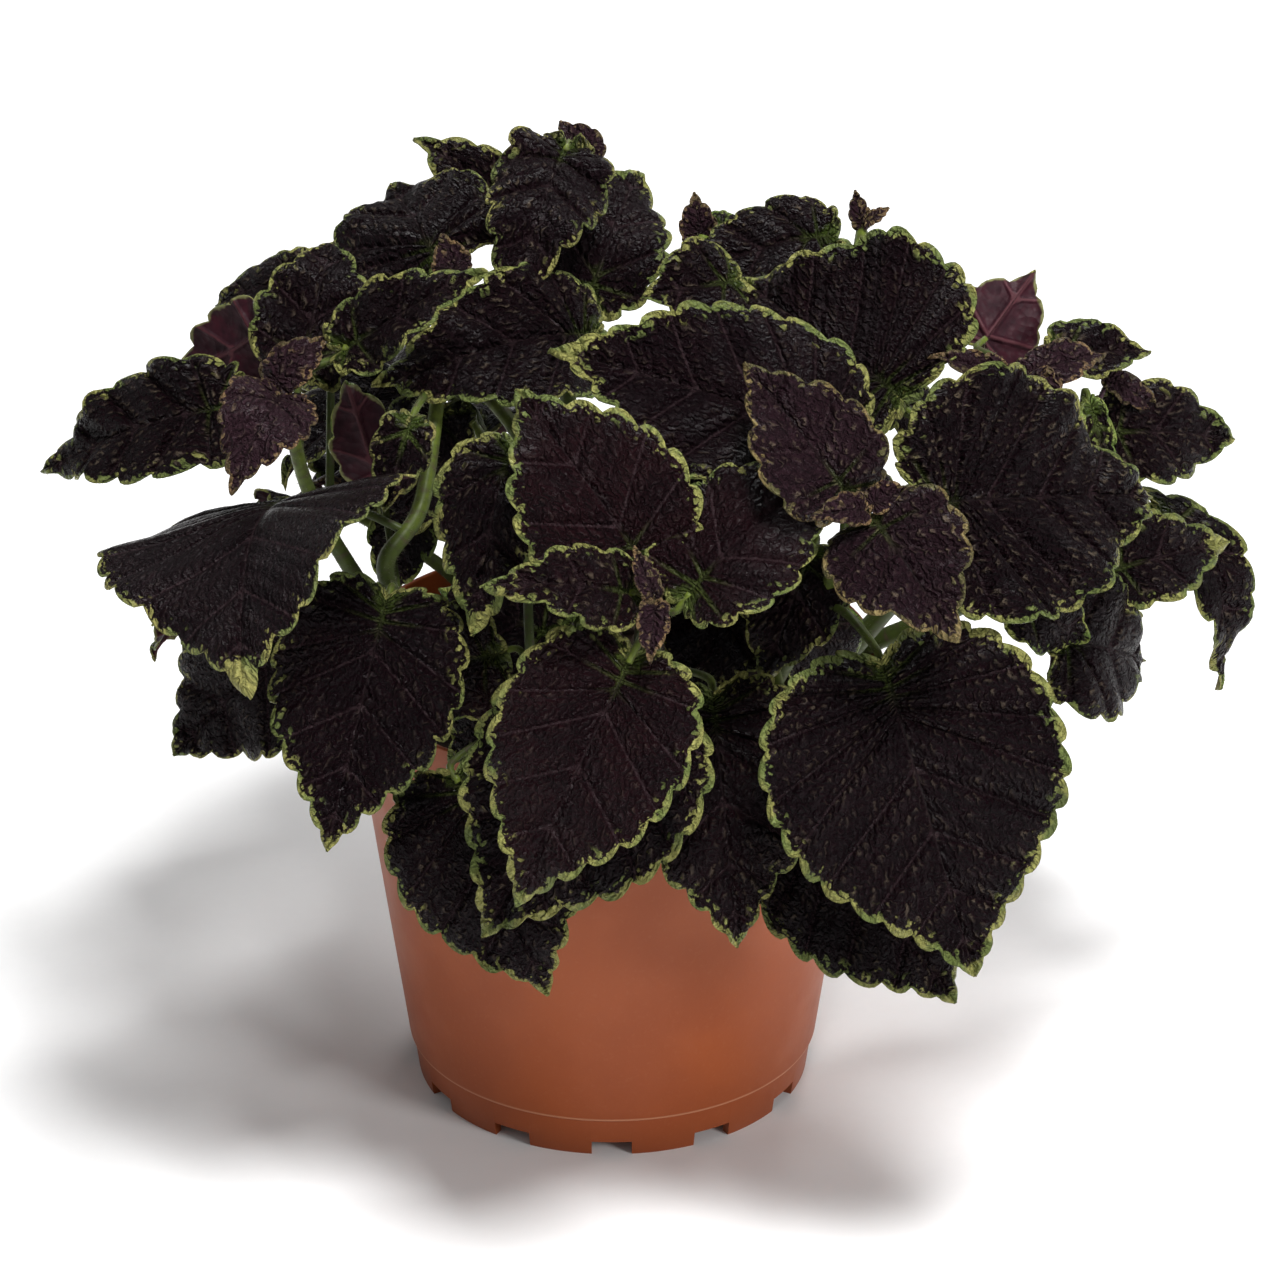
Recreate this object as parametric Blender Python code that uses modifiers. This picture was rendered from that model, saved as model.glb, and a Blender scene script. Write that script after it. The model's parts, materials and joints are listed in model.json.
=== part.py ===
"""A potted coleus: a terracotta-coloured nursery pot, its soil, and leafy stems that rise from the soil.

Metres, +Z up. The origin is on the ground under the middle of the whole plant's outline, and its front
faces -Y. Everything is laid out from the pot's axis, and an empty at POT_PLACE carries it all.
The leaves are placed where a camera in front of the plant sees them: each leaf's base and tip are a point
of that view, which is 1280 units wide and high, with a depth along Y in millimetres.
"""

import math
import random

import bmesh
import bpy
from mathutils import Vector

MM = 0.001
UP = Vector((0, 0, 1))
POT_PLACE = Vector((-9.6 * MM, -3.9 * MM, 0))
HOLDER = "pot_axis"

# Pot
POT_HEIGHT = 113 * MM
RIM_RADIUS = 65 * MM
FOOT_RADIUS = 48.7 * MM
STEP_HEIGHT = 10.6 * MM
STEP_RADIUS = 50.3 * MM
STEP_LEDGE = 0.8 * MM
STEP_SLOPE = 0.4 * MM
INNER_STEP_RISE = 1 * MM
COLLAR_HEIGHT = 13 * MM
COLLAR_STANDOUT = 1.6 * MM
COLLAR_TAPER = 0.9 * MM
COLLAR_SHOULDER = 1.5 * MM
LIP_CHAMFER = 0.8 * MM
WALL = 1.3 * MM
FOOT_RING = 2.2 * MM
FLOOR_UNDERSIDE = 4 * MM
FLOOR_THICKNESS = 1.8 * MM
POT_SIDES = 40
FOOT_NOTCHES = 12
NOTCH_ANGLE = math.radians(11.5)
NOTCH_HEIGHT = 3.8 * MM
NOTCH_REACH = 8 * MM
DRAIN_HOLES = 6
DRAIN_RADIUS = 4.5 * MM
DRAIN_CIRCLE = 30 * MM
DRAIN_SIDES = 8

# Soil
GAP = 0.3 * MM
SOIL_LEVEL = 99 * MM
SOIL_SHOULDER = 2 * MM
SOIL_SLACK = 0.2 * MM
SOIL_LUMP = 0.65 * MM
SOIL_WAVES = 5
SOIL_WAVE_RATES = (90, 260)
SOIL_SEED = 3
SOIL_RINGS = 4
SOIL_SIDES = 20
HOLE_DEPTH = 22 * MM
HOLE_SIDES = 8
HOLE_FIT = 1.12

# Stems and leaves
STEM_FOOT_RADIUS = 2.6 * MM
STEM_TIP_RADIUS = 1.4 * MM
STEM_STEPS = 6
STEM_COLLAR = 6 * MM
SEAT_STEPS = 12
PETIOLE_WIDTH = 2.2 * MM
PETIOLE_LENGTH = 14 * MM
PETIOLE_NECK = 4 * MM
PETIOLE_ROOT = 0.55
PETIOLE_BEND = 0.1
YOUNG_STALK = 0.6
PAIR_SPACING = 6 * MM
YOUNG_PETIOLE_LENGTH = 3 * MM
YOUNG_TEETH = 4
RIM_CLEARANCE = 8 * MM
BLADE_THICKNESS = 0.7 * MM
WIDEST_AT = 0.30
LOBE_SHARE = 0.45
BASE_LOBE = 0.13
TAPER_FROM = 0.62
TIP_FROM = 0.86
TIP_WIDTH = 0.36
TOOTH_DEPTH = 0.315
TOOTH_LEAN = 0.62
VEIN_SLANT = 0.75

# The view that the leaves are placed in
VIEW_SPAN = 1280
VIEW_CENTRE = Vector((6.9 * MM, 0, 116.2 * MM))
VIEW_PITCH = math.radians(25.97)
VIEW_DISTANCE = 1.3
VIEW_FOCAL = 5343
VIEW_RIGHT = Vector((1, 0, 0))
VIEW_UP = Vector((0, math.sin(VIEW_PITCH), math.cos(VIEW_PITCH)))
VIEW_BACK = Vector((0, -math.cos(VIEW_PITCH), math.sin(VIEW_PITCH)))
VIEW_EYE = VIEW_CENTRE + VIEW_DISTANCE * VIEW_BACK

# Each stem: its foot in the soil (x, y in mm), the view points that it passes through up to its tip, and its
# leaves as base, tip and width over length, each with what sets it apart: face (how far the blade turns
# right and up from the view), flip (its underside shows), arch, fold, and teeth on a side
STEMS = {
    "stem_front": (
        (8, -38),
        [(652, 650, -76), (655, 600, -98)],
        [
            ((650, 570, -92), (515, 388, -66), 0.80, dict(arch=0.08, fold=0.10)),
            ((684, 598, -96), (832, 460, -72), 0.74, dict(arch=0.06, fold=0.22, face=(-0.2, 0.3))),
            ((640, 592, -98), (483, 585, -112), 0.52, dict(arch=0.08, fold=0.15, face=(0, 0.3))),
            ((632, 655, -104), (515, 908, -124), 0.74, dict(arch=0.06, fold=0.12)),
            ((640, 694, -90), (482, 937, -110), 0.84, dict(arch=0.05, fold=0.10)),
            ((712, 692, -84), (737, 947, -98), 0.78, dict(arch=0.05, fold=0.10, face=(0.1, 0))),
            ((654, 598, -101), (634, 546, -98), 0.48, dict(teeth=3, fold=0.3)),
            ((655, 602, -103), (650, 664, -112), 0.55, dict(teeth=3, fold=0.3)),
        ],
    ),
    "stem_front_low": (
        (-14, -42),
        [(540, 705, -64), (530, 660, -66)],
        [
            ((455, 775, -74), (548, 998, -88), 0.80, dict(arch=0.05, fold=0.08, face=(-0.1, 0))),
            ((503, 653, -66), (392, 672, -56), 0.95, dict(arch=0.05, fold=0.20, face=(0, -0.1))),
            ((515, 445, -58), (472, 636, -84), 0.66, dict(arch=0.10, fold=0.10, face=(-0.3, 0))),
            ((560, 640, -46), (438, 588, -34), 0.80, dict(teeth=5, fold=0.1)),
            ((520, 700, -62), (446, 762, -62), 0.80, dict(teeth=5, fold=0.1)),
        ],
    ),
    "stem_right": (
        (30, -32),
        [(815, 610, -64), (866, 512, -82)],
        [
            ((850, 498, -84), (745, 362, -72), 0.76, dict(arch=0.06, fold=0.30)),
            ((872, 518, -88), (958, 642, -112), 0.95, dict(arch=0.12, fold=0.12)),
            ((918, 505, -76), (1150, 498, -44), 0.92, dict(arch=0.10, fold=0.14, face=(0, 0.2))),
            ((845, 448, -58), (550, 348, -56), 0.70, dict(arch=0.08, fold=0.12, face=(0, 0.5))),
            ((880, 660, -90), (975, 977, -112), 0.92, dict(arch=0.08, fold=0.12)),
            ((812, 548, -66), (762, 684, -76), 0.76, dict(arch=0.05, fold=0.15)),
            ((866, 510, -90), (812, 516, -97), 0.62, dict(teeth=3, fold=0.3, face=(0, 0.4))),
            ((870, 505, -88), (912, 488, -84), 0.75, dict(teeth=3, fold=0.3, face=(0, 0.4))),
        ],
    ),
    "stem_right_low": (
        (24, -46),
        [(775, 720, -62), (770, 650, -60)],
        [
            ((800, 800, -76), (955, 1003, -88), 0.80, dict(arch=0.05, fold=0.08)),
            ((765, 565, -58), (668, 448, -50), 0.72, dict(arch=0.05, fold=0.15)),
            ((730, 585, -44), (690, 706, -58), 1.00, dict(arch=0.05, fold=0.10)),
            ((800, 612, -40), (846, 690, -36), 0.90, dict(teeth=5, fold=0.1)),
        ],
    ),
    "stem_left": (
        (-40, -16),
        [(322, 520, -28), (283, 395, -42)],
        [
            ((240, 404, -26), (36, 470, -8), 0.50, dict(arch=0.08, fold=0.15, face=(0, 0.4))),
            ((338, 350, -42), (488, 271, -44), 0.50, dict(arch=0.05, fold=0.3, face=(0, 0.5))),
            ((300, 374, -30), (335, 238, 2), 0.74, dict(arch=0.10, fold=0.15)),
            ((268, 328, -8), (160, 386, 4), 0.62, dict(arch=0.05, fold=0.1, flip=True)),
            ((318, 276, 22), (212, 304, 32), 0.55, dict(arch=0.05, fold=0.1, face=(0, 0.5))),
            ((300, 630, -26), (170, 757, -20), 0.80, dict(arch=0.05, fold=0.1)),
            ((282, 392, -46), (231, 492, -68), 0.78, dict(teeth=4, arch=0.20, fold=0.2)),
            ((270, 384, -44), (329, 336, -38), 0.66, dict(teeth=3, fold=0.2, arch=0.1)),
        ],
    ),
    "stem_upper_left": (
        (-26, -34),
        [(388, 585, -62), (424, 494, -50), (452, 268, -12)],
        [
            ((388, 596, -70), (327, 852, -98), 0.76, dict(arch=0.06, fold=0.10)),
            ((294, 504, -54), (243, 690, -112), 1.26, dict(arch=0.20, fold=0.12, face=(-0.8, 1))),
            ((442, 270, 0), (390, 180, 38), 1.08, dict(arch=0.08, fold=0.05)),
            ((412, 418, -50), (384, 512, -60), 0.66, dict(teeth=5, arch=0.10, fold=0.2)),
            ((412, 496, -20), (388, 602, -26), 0.64, dict(teeth=5, arch=0.08, fold=0.1)),
            ((446, 404, -30), (400, 548, -34), 0.72, dict(arch=0.08, fold=0.15, face=(-0.3, 0))),
            ((378, 482, -36), (345, 378, -40), 0.60, dict(teeth=5, fold=0.2, flip=True)),
            ((462, 336, -18), (494, 280, -16), 0.75, dict(teeth=4, fold=0.2)),
            ((455, 274, -16), (442, 234, -16), 0.95, dict(teeth=3, fold=0.2)),
        ],
    ),
    "stem_top": (
        (-6, 6),
        [(568, 400, 0), (570, 150, 26)],
        [
            ((568, 142, 22), (503, 322, -26), 0.50, dict(arch=0.10, fold=0.06)),
            ((508, 206, 36), (414, 136, 46), 0.62, dict(arch=0.05, fold=0.2, face=(0, 0.6))),
            ((588, 300, 0), (640, 166, 36), 0.70, dict(arch=0.08, fold=0.12)),
            ((600, 332, -18), (372, 384, -42), 0.64, dict(arch=0.08, fold=0.12, face=(0, 0.5))),
            ((590, 165, 34), (560, 120, 40), 0.95, dict(teeth=4, fold=0.2)),
        ],
    ),
    "stem_top_right": (
        (8, 22),
        [(660, 420, 22), (704, 236, 46)],
        [
            ((700, 244, 48), (694, 192, 52), 0.75, dict(teeth=4, fold=0.3)),
            ((712, 228, 50), (770, 224, 60), 0.50, dict(teeth=5, fold=0.1, face=(0, 1.2))),
        ],
    ),
    "stem_upper_right": (
        (22, 4),
        [(830, 420, -20), (862, 232, 34)],
        [
            ((905, 404, -34), (740, 278, 6), 1.18, dict(arch=0.06, fold=0.2, face=(0.1, 0.3))),
            ((835, 238, 30), (672, 276, 26), 0.70, dict(arch=0.08, fold=0.10, face=(0, 0.9))),
            ((738, 280, 2), (640, 300, -10), 0.90, dict(arch=0.08, fold=0.1, face=(0, 0.3))),
            ((862, 228, 34), (855, 190, 38), 0.60, dict(teeth=3, fold=0.3)),
            ((866, 222, 32), (889, 208, 36), 0.50, dict(teeth=3, fold=0.3)),
        ],
    ),
    "stem_far_right": (
        (46, -14),
        [(990, 480, -30), (1018, 382, -26)],
        [
            ((1010, 380, -28), (930, 356, -32), 0.45, dict(teeth=4, fold=0.2, face=(0, 0.6))),
            ((1020, 382, -28), (1064, 410, -42), 0.70, dict(teeth=4, fold=0.2, face=(0, 0.5))),
            ((1024, 376, -24), (1107, 352, -16), 0.55, dict(teeth=4, fold=0.2, face=(0, 0.5))),
            ((980, 346, -2), (1036, 270, 14), 0.90, dict(arch=0.05, fold=0.15, flip=True)),
            ((1050, 352, -4), (1151, 352, 4), 0.62, dict(arch=0.05, fold=0.2, face=(0, 0.6))),
        ],
    ),
    "stem_right_edge": (
        (48, 6),
        [(1040, 560, -18), (1090, 420, -6)],
        [
            ((1100, 432, 0), (1238, 438, 12), 0.72, dict(arch=0.08, fold=0.15)),
            ((1105, 374, 2), (1158, 411, 6), 0.42, dict(teeth=4, fold=0.3)),
            ((1090, 402, -14), (1112, 490, -20), 0.36, dict(teeth=5, fold=0.3)),
            ((1105, 572, -28), (1233, 540, -12), 0.66, dict(arch=0.05, fold=0.12)),
            ((1150, 505, 8), (1218, 690, 2), 0.40, dict(arch=0.25, fold=0.3, face=(0.8, 0.5))),
            ((1052, 642, -58), (1153, 660, -28), 0.80, dict(arch=0.06, fold=0.12)),
            ((1012, 602, -62), (1092, 640, -52), 0.70, dict(teeth=5, fold=0.12)),
        ],
    ),
}

# Each stem of the far side: its foot in the soil (x, y in mm), the direction it leans to, in degrees from +X
# towards +Y, how far out and how high its tip stands, in mm, and whether it is one of the high ones
BACK_STEMS = {
    "stem_back_low_1": ((42, 24), 22, 100, 142, False),
    "stem_back_low_2": ((20, 44), 68, 98, 140, False),
    "stem_back_low_3": ((-16, 44), 115, 98, 146, False),
    "stem_back_low_4": ((-40, 24), 155, 84, 142, False),
    "stem_back_high_1": ((18, 20), 46, 60, 182, True),
    "stem_back_high_2": ((-18, 20), 134, 60, 174, True),
}

# The leaves of a low and of a high back stem: how far each turns from where the stem leans, in degrees, how
# far below the stem's tip it sits, its length in mm, its droop, and its teeth on a side
LOW_LEAVES = (
    (4, 20, 62, 0.95, 6),
    (62, 12, 46, 0.75, 6),
    (-64, 12, 46, 0.75, 6),
    (-118, 4, 36, 0.1, 5),
    (170, 1, 17, -0.3, 3),
)
HIGH_LEAVES = (
    (0, 14, 58, 0.45, 6),
    (84, 9, 46, 0.35, 6),
    (-86, 9, 46, 0.35, 6),
    (30, 1, 18, -0.1, 3),
    (-150, 1, 16, -0.2, 3),
)
BACK_SEED = 7
BACK_SCATTER = 6
BACK_PETIOLE_SHARE = 0.16
BACK_STEM_RISE = 18 * MM
BACK_WIDTH = 0.76
BACK_FORM = {"arch": 0.1, "fold": 0.12}


def view_point(x, y, depth):
    """The point that the view shows at (x, y), at a depth in millimetres along Y."""
    ray = -VIEW_BACK
    ray += VIEW_RIGHT * (x - VIEW_SPAN / 2) / VIEW_FOCAL
    ray += VIEW_UP * (VIEW_SPAN / 2 - y) / VIEW_FOCAL
    return VIEW_EYE + ray * (depth * MM - VIEW_EYE.y) / ray.y


def smooth_path(points, steps):
    """A smooth curve through the points, with the given number of steps between each two."""
    ends = [2 * points[0] - points[1], *points, 2 * points[-1] - points[-2]]
    path = []
    for before, start, end, after in zip(ends, ends[1:], ends[2:], ends[3:]):
        for step in range(steps):
            t = step / steps
            path.append(
                start
                + (end - before) * (t / 2)
                + (2 * before - 5 * start + 4 * end - after) * (t**2 / 2)
                + (3 * start - before - 3 * end + after) * (t**3 / 2)
            )
    return [*path, points[-1]]


def bezier(points, t):
    """The point at t of the cubic curve with these four control points in a plane."""
    weights = ((1 - t) ** 3, 3 * t * (1 - t) ** 2, 3 * t**2 * (1 - t), t**3)
    return tuple(sum(w * p[axis] for w, p in zip(weights, points)) for axis in (0, 1))


def blade_outline(t, width):
    """A heart-shaped half outline, from the petiole at t = 0 to the tip at t = 1, in leaf lengths."""
    half = width / 2
    if t < LOBE_SHARE:
        lobe = [(0, 0), (-BASE_LOBE, half / 4), (-BASE_LOBE / 2, half), (WIDEST_AT, half)]
        return bezier(lobe, t / LOBE_SHARE)
    taper = [(WIDEST_AT, half), (TAPER_FROM, half), (TIP_FROM, half * TIP_WIDTH), (1, 0)]
    return bezier(taper, (t - LOBE_SHARE) / (1 - LOBE_SHARE))


def leaf(base, tip, width, facing, teeth=6, arch=0.05, fold=0.1):
    """The leaf from base to tip whose upper side turns towards the vector facing."""
    axis = (tip - base).normalized()
    normal = (facing - facing.dot(axis) * axis).normalized()
    return {
        "base": base,
        "length": (tip - base).length,
        "axis": axis,
        "normal": normal,
        "side": axis.cross(normal),
        "width": width,
        "teeth": teeth,
        "arch": arch,
        "fold": fold,
    }


def blade_point(leaf, along, across):
    """The point of the blade's upper side at these distances along and across, in leaf lengths."""
    rise = leaf["arch"] * 4 * along * (1 - along) + leaf["fold"] * abs(across)
    offset = leaf["axis"] * along + leaf["side"] * across + leaf["normal"] * rise
    return leaf["base"] + leaf["length"] * offset


def view_leaf(base, tip, width, face=(0, 0.15), flip=False, **form):
    """The leaf between two points of the view, turned to the view and by face to the right and up from it."""
    base = view_point(*base)
    tip = view_point(*tip)
    facing = VIEW_BACK + Vector((face[0], 0, face[1]))
    return leaf(base, tip, width, -facing if flip else facing, **form)


def blade_rows(leaf):
    """The midrib's points, and each side's points from notch to crown to notch, in leaf lengths."""
    teeth = leaf["teeth"]
    midrib = []
    edge = []
    for tooth in range(teeth):
        crown = blade_outline((tooth + TOOTH_LEAN) / teeth, leaf["width"])
        x, y = blade_outline((tooth + 1) / teeth, leaf["width"])
        vein = max(x - VEIN_SLANT * y, 0.3 * (tooth + 1) / teeth)
        depth = TOOTH_DEPTH / teeth / max(math.hypot(x - vein, y), 0.1)
        edge += [crown, (x + (vein - x) * depth, y * (1 - depth))]
        midrib.append((vein, 0))
    edge[-1] = midrib[-1] = (1, 0)
    return midrib, edge


def petiole_start(leaf, path, reach):
    """The point of the stem's path that the stalk grows from: about this far off, below and behind the blade."""

    def misfit(point):
        way = point - leaf["base"]
        above = max(0, way.z) / 2 + max(0, way.dot(leaf["normal"]) + PETIOLE_NECK / 2)
        ahead = max(0, way.dot(leaf["axis"])) / 2
        below_rim = max(0, POT_HEIGHT + RIM_CLEARANCE - point.z)
        return abs(way.length - reach) + above + ahead + below_rim

    return min(path, key=misfit)


def petiole_route(leaf, path, pair):
    """The stalk's points, from inside the stem, over the pot's rim, to the blade's base from beneath."""
    base = leaf["base"]
    if leaf["teeth"] <= YOUNG_TEETH:
        return [petiole_start(leaf, path, YOUNG_PETIOLE_LENGTH)]
    start = petiole_start(leaf, path, PETIOLE_LENGTH + PAIR_SPACING * pair)
    neck = base - (leaf["axis"] * 0.6 + leaf["normal"] * 0.8) * PETIOLE_NECK
    middle = start.lerp(neck, 0.5) + UP * (start - neck).length * PETIOLE_BEND
    middle.z = max(middle.z, POT_HEIGHT + RIM_CLEARANCE)
    return [start, middle, neck]


def add_leaf(leaf, path, pair, name, collection):
    """A leaf with its stalk as an open sheet of faces, thickened to both sides, the stalk more."""
    mesh = bmesh.new()
    places = [*petiole_route(leaf, path, pair), leaf["base"]]
    half = PETIOLE_WIDTH / 2 * (YOUNG_STALK if leaf["teeth"] <= YOUNG_TEETH else 1)
    side = leaf["side"]
    stalk = []
    for index in reversed(range(len(places))):
        if index < len(places) - 1:
            way = (places[index + 1] - places[max(index - 1, 0)]).normalized()
            side = (side - side.dot(way) * way).normalized()
        reach = side * half * (1 if index else PETIOLE_ROOT)
        row = [mesh.verts.new(places[index] + reach), mesh.verts.new(places[index] - reach)]
        stalk.insert(0, row)
    for (left, right), (next_left, next_right) in zip(stalk, stalk[1:]):
        mesh.faces.new((left, right, next_right, next_left))
    midrib, edge = blade_rows(leaf)
    spine = [mesh.verts.new(blade_point(leaf, x, 0)) for x, _ in midrib]
    mesh.faces.new((*stalk[-1], spine[0]))
    for hand, root in ((1, stalk[-1][0]), (-1, stalk[-1][1])):
        rim = [root, *(mesh.verts.new(blade_point(leaf, x, hand * y)) for x, y in edge[:-1]), spine[-1]]
        for tooth, end in enumerate(spine):
            start = spine[tooth - 1] if tooth else root
            notch, crown, next_notch = rim[2 * tooth : 2 * tooth + 3]
            for corners in ((start, notch, crown), (start, crown, end), (end, crown, next_notch)):
                if len(set(corners)) == 3:
                    mesh.faces.new(corners if hand < 0 else corners[::-1])
    mesh.verts.index_update()
    thick = [vert.index for row in stalk[:-1] for vert in row]
    obj = add_object(mesh, name, collection)
    group = obj.vertex_groups.new(name="stalk")
    group.add(thick, 1, "REPLACE")
    group.add(thick[:2], PETIOLE_ROOT, "REPLACE")
    shell = obj.modifiers.new("thickness", "SOLIDIFY")
    shell.offset = 0
    shell.thickness = 2 * half
    shell.vertex_group = group.name
    shell.thickness_vertex_group = BLADE_THICKNESS / (2 * half)
    return obj


def add_object(mesh, name, collection):
    """A new object that holds this bmesh, in the collection, laid out from the pot's axis."""
    data = bpy.data.meshes.new(name)
    mesh.to_mesh(data)
    mesh.free()
    obj = bpy.data.objects.new(name, data)
    obj.parent = bpy.data.objects[HOLDER]
    collection.objects.link(obj)
    return obj


def evaluated_mesh(obj):
    """The object's mesh as its modifiers or its bevel leave it."""
    graph = bpy.context.evaluated_depsgraph_get()
    return bpy.data.meshes.new_from_object(obj.evaluated_get(graph))


def add_tube(path, radii, name, collection):
    """A closed four-sided tube along the path, its radius running from the first to the second."""
    curve = bpy.data.curves.new(name, "CURVE")
    curve.dimensions = "3D"
    curve.bevel_depth = 1
    curve.bevel_resolution = 0
    curve.use_fill_caps = True
    spline = curve.splines.new("POLY")
    spline.points.add(len(path) - 1)
    for index, (point, place) in enumerate(zip(spline.points, path)):
        share = index / (len(path) - 1)
        point.co = (*place, 1)
        point.radius = radii[0] + (radii[1] - radii[0]) * share
    guide = bpy.data.objects.new(name, curve)
    collection.objects.link(guide)
    bpy.context.view_layer.update()
    mesh = bmesh.new()
    data = evaluated_mesh(guide)
    mesh.from_mesh(data)
    bmesh.ops.remove_doubles(mesh, verts=mesh.verts, dist=0.01 * MM)
    bpy.data.objects.remove(guide)
    bpy.data.meshes.remove(data)
    return add_object(mesh, name, collection)


def add_stem(name, foot, route, leaves, material, plant):
    """One leafy stem as one closed body: the stem, its petioles and its blades joined."""
    pieces = bpy.data.collections.new(name + "_pieces")
    bpy.context.scene.collection.children.link(pieces)
    bottom = Vector((foot[0] * MM, foot[1] * MM, SOIL_LEVEL - HOLE_DEPTH + GAP))
    collar = Vector((bottom.x, bottom.y, SOIL_LEVEL + STEM_COLLAR))
    seats = smooth_path([collar, *route], SEAT_STEPS)
    path = [bottom, *smooth_path([collar, *route], max(2, STEM_STEPS // len(route)))]
    stem = add_tube(path, (STEM_FOOT_RADIUS, STEM_TIP_RADIUS), name, plant)
    for index, leaf in enumerate(leaves):
        add_leaf(leaf, seats, index // 2, f"{name}_leaf_{index}", pieces)
    union = stem.modifiers.new("join", "BOOLEAN")
    union.operation = "UNION"
    union.operand_type = "COLLECTION"
    union.collection = pieces
    union.solver = "MANIFOLD"
    bpy.context.view_layer.update()
    joined = evaluated_mesh(stem)
    stem.modifiers.clear()
    stem.data = joined
    for obj in list(pieces.objects):
        bpy.data.objects.remove(obj)
    bpy.data.collections.remove(pieces)
    joined.materials.clear()
    joined.materials.append(material)
    return stem


def back_leaves(tip, lean, layout, draw):
    """A back stem's leaves: the longer a leaf, the lower it sits on the stem and the more it droops."""
    out = Vector((math.cos(lean), math.sin(lean), 0))
    leaves = []
    for turn, below, length, droop, teeth in layout:
        angle = lean + math.radians(turn + draw.uniform(-1, 1) * BACK_SCATTER)
        way = Vector((math.cos(angle), math.sin(angle), 0))
        seat = tip - (UP + out * 0.5) * below * MM
        base = seat + (way + UP * 0.5) * length * BACK_PETIOLE_SHARE * MM
        end = base + (way - UP * droop).normalized() * length * MM
        leaves.append(leaf(base, end, BACK_WIDTH, UP + way * 0.6, teeth=teeth, **BACK_FORM))
    return leaves


def all_stems():
    """Every leafy stem as its name, its foot, its route and its leaves."""
    for name, (foot, route, leaves) in STEMS.items():
        route = [view_point(*point) for point in route]
        yield name, foot, route, [view_leaf(*places, **form) for *places, form in leaves]
    draw = random.Random(BACK_SEED)
    for name, (foot, lean, reach, height, high) in BACK_STEMS.items():
        lean = math.radians(lean)
        tip = Vector((reach * math.cos(lean), reach * math.sin(lean), height)) * MM
        middle = Vector((tip.x / 2, tip.y / 2, tip.z - BACK_STEM_RISE))
        leaves = back_leaves(tip, lean, HIGH_LEAVES if high else LOW_LEAVES, draw)
        yield name, foot, [middle, tip], leaves


def turned(profile, sides, name, collection):
    """A body turned about Z from a closed outline of (radius, height) points that runs down its outer side."""
    mesh = bmesh.new()
    ring = [mesh.verts.new((radius, 0, height)) for radius, height in profile]
    for start, end in zip(ring, ring[1:]):
        mesh.edges.new((start, end))
    if profile[0][0] > 0:
        mesh.edges.new((ring[-1], ring[0]))
    obj = add_object(mesh, name, collection)
    screw = obj.modifiers.new("turn", "SCREW")
    screw.steps = sides
    screw.render_steps = sides
    screw.use_merge_vertices = True
    screw.merge_threshold = 0.05 * MM
    return obj


def cut(obj, cutters):
    """Takes the cutters' shapes out of the object."""
    modifier = obj.modifiers.new("cut", "BOOLEAN")
    modifier.operation = "DIFFERENCE"
    modifier.operand_type = "COLLECTION"
    modifier.collection = cutters


def cutter_collection(name):
    """A new collection for cutters, which are drawn as wires and left out of a render."""
    collection = bpy.data.collections.new(name)
    bpy.context.scene.collection.children.link(collection)
    return collection


def hide_cutter(obj):
    """Marks the object as a cutter only."""
    obj.hide_render = True
    obj.display_type = "WIRE"


def add_cylinder_cutter(place, radius, depth, sides, name, collection):
    """A cutter that stands on the place and rises by depth."""
    mesh = bmesh.new()
    bmesh.ops.create_cone(
        mesh, cap_ends=True, segments=sides, radius1=radius, radius2=radius, depth=depth
    )
    obj = add_object(mesh, name, collection)
    obj.location = place + UP * depth / 2
    hide_cutter(obj)


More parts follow.
